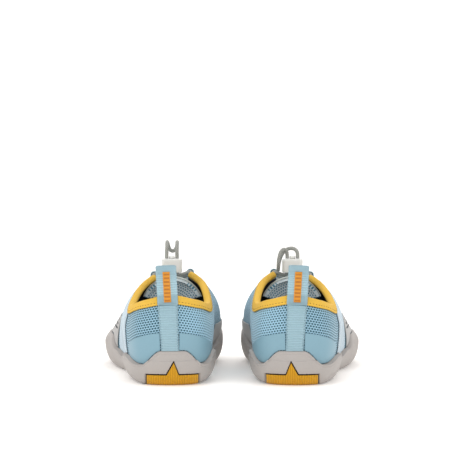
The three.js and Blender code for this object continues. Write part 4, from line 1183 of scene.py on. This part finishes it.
def makeOutsole(foot):
    heelColumns, restColumns = 300, 380
    heelSpan = 1.25 / stations
    us = np.concatenate([np.linspace(0, heelSpan, heelColumns // 2 + 1)[:-1],
                         np.linspace(heelSpan, 1 - heelSpan, restColumns + 1)[:-1],
                         np.linspace(1 - heelSpan, 1, heelColumns // 2 + 1)])
    columns = len(us) - 1
    bottomRows, wallRows, lipRows, innerRows, floorRows = 22, 62, 4, 8, 3
    rows = bottomRows + wallRows + lipRows + innerRows + floorRows
    edgeTops = edgeHeight(us)
    gap = last["clearance"]

    def shape(s, t):
        i = np.rint(s * columns).astype(int)
        j = np.rint(t * rows).astype(int)
        u = us[i]
        top = edgeTops[i]
        arc = patternPlace(u, np.full(len(u), 0.3))[:, 0]
        station = stationOf(u)
        # the wall, with ribs beside the ball of the foot and the pocket for the insert
        climb = np.clip((j - bottomRows) / wallRows, 0, 1)
        z = (top - soleLook["edgeRadius"]) * climb
        wall = wallPoint(u, z)
        outward = onRing(lastTables["outward"], u)
        lobe = np.where(isOuter(u), eased(soleLook["ribsOut"], station), eased(soleLook["ribsIn"], station))
        band = np.clip((z - 3.5) / 1.5, 0, 1) * np.clip((top - 3.2 - z) / 1.5, 0, 1)
        wave = np.abs(np.sin(math.pi * arc / soleLook["ribPitch"])) ** 0.7 - 1
        push = soleLook["ribDepth"] * lobe * band * wave
        pocket = (z < insertTop(wall[:, 0], soleLook["groove"])) & (station < 1.3)
        push = push - soleLook["pocket"] * pocket
        line = np.exp(-((z - (top - 2.4)) / 0.45) ** 2) * soleLook["edgeLine"]
        push = push - line * (~pocket)
        wall = wall + outward * push[:, None]
        # the bottom, with zigzag tread grooves
        share = np.clip(j / bottomRows, 0, 1)
        middle = spine(u, 0.0)
        tread = wallPoint(u, np.zeros(len(u)))
        base = middle + (tread - middle) * share[:, None]
        zig = np.abs(np.mod(base[:, 0] / 14 + 50, 1) * 2 - 1) * 5
        ridge = np.clip(np.sin(2 * math.pi * (base[:, 1] + zig) / soleLook["treadPitch"]) * 3 - 1.6, 0, 1)
        base[:, 2] = soleLook["treadDepth"] * ridge * np.clip((0.97 - share) * 12, 0, 1) * np.clip(share * 12, 0, 1)
        # the rounded lip, the inner wall and the floor
        k = np.clip((j - bottomRows - wallRows) / lipRows, 0, 1)
        turn = soleLook["edgeRadius"]
        lipV = heightV(u, top - turn + turn * np.sin(k * math.pi / 2))
        lip = offset(u, lipV, gap + (last["wallAtTop"] - gap) * np.cos(k * math.pi / 2))
        down = np.clip((j - bottomRows - wallRows - lipRows) / innerRows, 0, 1)
        innerWall = offset(u, heightV(u, top) * (1 - down), gap)
        back = np.clip((j - bottomRows - wallRows - lipRows - innerRows) / floorRows, 0, 1)
        edge = offset(u, np.zeros(len(u)), gap)
        edge[:, 2] = last["soleFloor"]
        floor = edge + (spine(u, float(last["soleFloor"])) - edge) * back[:, None]
        points = np.where((j <= bottomRows)[:, None], base, wall)
        points = np.where((j > bottomRows + wallRows)[:, None], lip, points)
        points = np.where((j > bottomRows + wallRows + lipRows)[:, None], innerWall, points)
        points = np.where((j > bottomRows + wallRows + lipRows + innerRows)[:, None], floor, points)
        # the pocket's faces take the dark second colour, painted shade in the groove round the insert
        return points, np.stack([arc, z], axis=1), np.where(pocket & (j > bottomRows), 0.0, 1.0)

    piece = gridPiece(foot, "sole", columns, rows, shape, rubber, wrapAcross=True)
    mergeSeam(piece, 3e-5, True)
    closeEnds(piece)
    return settle(piece, foot, ["outsole"])


def makeInsert(foot):
    half = insertLook["half"] - insertLook["room"]
    path = crossPath(insertLook["rows"], 12.0, 3.0, 0.5)

    def shape(s, t):
        x = (s * 2 - 1) * half + insertLook["shift"]
        j = np.rint(t * (len(path) - 1)).astype(int)
        top = insertTop(x) - 0.15
        z = 0.25 + (top - 0.25) * path[j, 0]
        u = wallU(x, z)
        rib = insertLook["ribHeight"] * np.sin(2 * math.pi * x / insertLook["rib"])
        side = np.abs(x - insertLook["shift"])
        rib = rib * np.clip(path[j, 1] * 2 - 1, 0, 1) * np.clip((half - 0.5 - side) / 0.6, 0, 1)
        ends = np.sqrt(np.clip(1 - np.clip((side - half + 0.5) / 0.5, 0, 1) ** 2, 0, 1)) * 0.9 + 0.1
        d = -1.45 + (path[j, 1] - 0.5) * 2.9 * ends + rib
        points = wallPoint(u, z) + onRing(lastTables["outward"], u) * d[:, None]
        return points, np.stack([z, x], axis=1)

    piece = gridPiece(foot, "insert", insertLook["columns"], len(path) - 1, shape, insertRubber, wrapUp=True)
    closeEnds(piece)
    return settle(piece, foot, ["heel_insert"])


insoleLook = {"low": 10.3, "high": 14.6, "round": 0.9, "rise": 0.9, "room": 2.55, "columns": 360, "fill": 0.8}


def makeInsole(foot):
    rows = [3, 26, 6, 10]  # centre, top, rounded edge, underside
    total = sum(rows)

    def shape(s, t):
        u = s
        j = np.rint(t * total).astype(int)
        rim = offset(u, np.zeros(len(u)), 0) - onRing(lastTables["outward"], u) * insoleLook["room"]
        low, flatTop = insoleLook["low"], insoleLook["high"] - insoleLook["round"]
        share = np.clip((j - rows[0]) / rows[1], 0, 1)
        middle = spine(u, 0.0)
        flat = middle + (rim - middle) * np.where(j <= rows[0] + rows[1], share, 1.0)[:, None]
        rise = insoleLook["rise"] * share ** 3 * (0.4 + 0.6 * eased([(0, 1), (3, 0.6), (5, 0.2)], stationOf(u)))
        z = flatTop + rise
        turn = np.clip((j - rows[0] - rows[1]) / rows[2], 0, 1)
        flat = flat - onRing(lastTables["outward"], u) * (0.6 * (1 - np.sin(turn * math.pi)))[:, None]
        z = np.where(j > rows[0] + rows[1], z + (low - z) * turn, z)
        back = np.clip((j - rows[0] - rows[1] - rows[2]) / rows[3], 0, 1)
        flat = np.where((j > total - rows[3])[:, None], flat + (middle - flat) * back[:, None], flat)
        z = np.where(j < rows[0], flatTop, z)
        flat[:, 2] = z
        return flat, np.stack([flat[:, 0], flat[:, 1]], axis=1)

    piece = gridPiece(foot, "insole_pad", insoleLook["columns"], total, shape, insoleCloth, wrapAcross=True)
    mergeSeam(piece, 2e-5, False)
    closeEnds(piece)
    return settle(piece, foot, ["insole"])




def plainPiece(foot, name, bm, material):  # a shape drawn in the shoe's frame, in mm
    points = place(foot, [v.co[:] for v in bm.verts])
    for vert, point in zip(bm.verts, points):
        vert.co = point
    if sides[foot] < 0:
        bmesh.ops.reverse_faces(bm, faces=bm.faces)
    bmesh.ops.recalc_face_normals(bm, faces=bm.faces)
    return linked(f"{foot}_{name}", bm, material)


def makeLock(foot):
    bm = bmesh.new()
    bmesh.ops.create_cube(bm, size=1.0)
    for v in bm.verts:
        v.co = Vector((lock["x"] + v.co.x * lock["width"], lock["y"] + v.co.y * lock["depth"],
                       lock["low"] + (v.co.z + 0.5) * lock["height"]))
    upright = [e for e in bm.edges if abs(e.verts[0].co.z - e.verts[1].co.z) > 5]
    bmesh.ops.bevel(bm, geom=upright, offset=lock["corner"], segments=8, profile=0.5, affect="EDGES", material=-1)
    rims = [e for e in bm.edges if abs(e.verts[0].co.z - e.verts[1].co.z) < 1e-4
            and len(e.link_faces) == 2 and abs(e.link_faces[0].normal.z - e.link_faces[1].normal.z) > 0.5]
    bmesh.ops.bevel(bm, geom=rims, offset=lock["edge"], segments=5, profile=0.5, affect="EDGES", material=-1)
    body = plainPiece(foot, "lock", bm, lockPlastic)
    cutters = []
    strand, bore = lock["strand"], lock["bore"]
    for x, radius, low in ((-strand, bore, -3), (strand, bore, -3), (0, lock["well"], lock["wellFloor"])):
        cut = bmesh.new()
        bmesh.ops.create_cone(cut, cap_ends=True, segments=28, radius1=radius, radius2=radius, depth=20)
        for v in cut.verts:
            v.co = Vector((lock["x"] + x + v.co.x, lock["y"] + v.co.y, lock["low"] + low + 10 + v.co.z))
        cutter = plainPiece(foot, f"cutter{len(cutters)}", cut, lockPlastic)
        cutters.append(cutter)
        hollow = body.modifiers.new("bore", "BOOLEAN")
        hollow.object = cutter
        hollow.solver = "EXACT"
    bpy.context.view_layer.update()
    cutBody = bpy.data.meshes.new_from_object(body.evaluated_get(bpy.context.evaluated_depsgraph_get()))
    body.modifiers.clear()
    body.data = cutBody
    for cutter in cutters:
        bpy.data.objects.remove(cutter)
    body.data.set_sharp_from_angle(angle=math.radians(40))
    return settle(body, foot, ["cord_lock_body"], body="cord_lock")


# radius and height of the button's outline: the stem from its foot, the head from the lock's top
buttonStem = [(0.001, 0), (2.25, 0), (2.4, 0.15), (2.4, 1.4), (2.0, 2.2)]
buttonHead = [(2.0, 0), (2.35, 0.4), (2.5, 0.8), (2.5, 1.6), (2.3, 2.1), (1.8, 2.45), (0.9, 2.6), (0.001, 2.62)]


def makeButton(foot):
    base = lock["low"] + lock["wellFloor"] + lock["spring"]
    profile = buttonStem + [(radius, lockTop - base + z) for radius, z in buttonHead]
    bm = bmesh.new()
    verts = [bm.verts.new((lock["x"] + r, lock["y"], base + z)) for r, z in profile]
    edges = [bm.edges.new(pair) for pair in zip(verts, verts[1:])]
    bmesh.ops.spin(bm, geom=verts + edges, cent=(lock["x"], lock["y"], base), axis=(0, 0, 1), angle=2 * math.pi,
                   steps=40, use_merge=True)
    bmesh.ops.remove_doubles(bm, verts=bm.verts, dist=0.01)
    piece = plainPiece(foot, "button", bm, lockPlastic)
    return settle(piece, foot, ["cord_lock_button"], body="lock_button")


guideLook = {"inner": 2.45, "outer": 3.15, "feet": -2.1, "length": 3.8, "ribs": 4}
guideRows = [(120, 78.6, 80.6), (142, 71, 72.2)]  # along the shoe, height on the outer and the inner side
guideX = [(12.6, -17.4), (10.8, -15.6)]
guideSlope = math.radians(22)


def makeGuides(foot):
    inner, outer, feet, length = (guideLook[key] for key in ("inner", "outer", "feet", "length"))
    arc = np.linspace(0, math.pi, 19)
    loopOut = [(outer, feet)] + [(outer * math.cos(a), outer * math.sin(a)) for a in arc] + [(-outer, feet)]
    loopIn = [(-inner, feet)] + [(inner * math.cos(a), inner * math.sin(a)) for a in arc[::-1]] + [(inner, feet)]
    path = np.array(loopOut + loopIn + loopOut[:1], float)
    for row in (0, 1):
        for label, side in (("lateral", 0), ("medial", 1)):
            y, zs = guideRows[row][0], guideRows[row][1 + side]

            def shape(s, t, row=row, side=side, y=y, zs=zs):
                j = np.rint(s * (len(path) - 1)).astype(int)
                run = (t - 0.5) * length
                rib = 1 + 0.03 * np.sin(2 * math.pi * t * guideLook["ribs"])
                x, z = path[j, 0] * rib, path[j, 1] * np.where(path[j, 1] > 0, rib, 1)
                points = np.stack([guideX[row][side] + x, y + run * math.cos(guideSlope) + z * math.sin(guideSlope),
                                   zs + z * math.cos(guideSlope) - run * math.sin(guideSlope)], axis=1)
                return points, np.stack([run, path[j, 0]], axis=1)

            piece = gridPiece(foot, f"guide_{label}_{row + 1}", len(path) - 1, 16, shape, webbing, wrapAcross=True)
            closeEnds(piece)
            settle(piece, foot, [f"lace_guide_{label}_{row + 1}"])


laceCross = (77.4, 67.4, 73.8)  # heights where the strands cross over the tongue


def laceRoute():
    low, y = lock["low"], lock["y"]

    def strandX(side):
        return lock["x"] + side * lock["strand"]

    def through(row, side, step):
        at, out, inn = guideRows[row]
        z = out if side > 0 else inn
        return [guideX[row][0 if side > 0 else 1], at + step, z - step * math.tan(guideSlope)]

    def down(side, cross):
        x = strandX(side)
        return [[x, y, lockTop - 0.1], [x, y, low + 6], [x, y, low + 0.4], [x + side * 1.2, y + 1.6, low - 2],
                through(0, side, -2.4), through(0, side, 2.4), [-2.4, 131, cross],
                through(1, -side, -2.4), through(1, -side, 2.4)]

    first, front, second = laceCross
    return down(1, first) + [[-2.4, 153.5, front]] + down(-1, second)[::-1]


def makeLace(foot):
    piece, line, length = tubePiece(foot, "lace_run", laceRoute(), laceRadius, 20, 420, laceBraid)
    return settle(piece, foot, ["lace"])


# light and floor
lightLook = {  # power, size, place and aim of each lamp
    "sky": 1.07, "floor": "fdfaf7", "floorGlow": 0.12,
    "key": (4.0, 0.9, (-0.7, -1.0, 1.1), (0, 0, 0.05)),
    "fill": (0.9, 1.0, (1.0, -0.9, 0.6), (0, 0, 0.05)),
    "top": (4.6, 0.7, (0.1, 0.9, 1.2), (0, 0, 0)),
}


def makeFloor():
    bm = bmesh.new()
    bmesh.ops.create_grid(bm, x_segments=2, y_segments=2, size=6.0)
    look, tree, surface = shader("floorPaper", 0.9, linear(lightLook["floor"]))
    surface.inputs["Emission Color"].default_value = (1, 1, 1, 1)
    surface.inputs["Emission Strength"].default_value = lightLook["floorGlow"]
    floor = linked("floor", bm, look)


def areaLight(name, power, size, spot, aim):
    light = bpy.data.lights.new(name, "AREA")
    light.energy = power
    light.size = size
    lamp = bpy.data.objects.new(name, light)
    bpy.context.scene.collection.objects.link(lamp)
    lamp.location = spot
    lamp.rotation_euler = (Vector(aim) - Vector(spot)).to_track_quat("-Z", "Y").to_euler()


def makeLight():
    world = bpy.data.worlds.new("studio")
    bpy.context.scene.world = world
    world.use_nodes = True
    back = world.node_tree.nodes["Background"]
    back.inputs["Color"].default_value = (1, 1, 1, 1)
    back.inputs["Strength"].default_value = lightLook["sky"]
    for name in ("key", "fill", "top"):
        areaLight(name, *lightLook[name])
    scene = bpy.context.scene
    scene.view_settings.view_transform = "Standard"
    scene.view_settings.look = "None"


makeFloor()
makeLight()
print("floor and lights ready")

for foot in sides:
    makeLoop(foot)
    for make in (makeUpper, makeLining, makeBinding, makeCounters, makeStrap, makeStrapStitches, makeBindingStitches,
                 makePanels, makeTongue, makeTab, makeMarking, makeOutsole, makeInsert, makeInsole, makeLock,
                 makeButton, makeGuides, makeLace):
        make(foot)
    for node, look in (("lasting_board", boardCard), ("heel_stiffener", stiffSheet), ("lock_spring", springSteel)):
        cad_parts[f"{foot}_{node}"].data.materials.clear()
        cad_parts[f"{foot}_{node}"].data.materials.append(look)
    print(foot, "shoe ready")
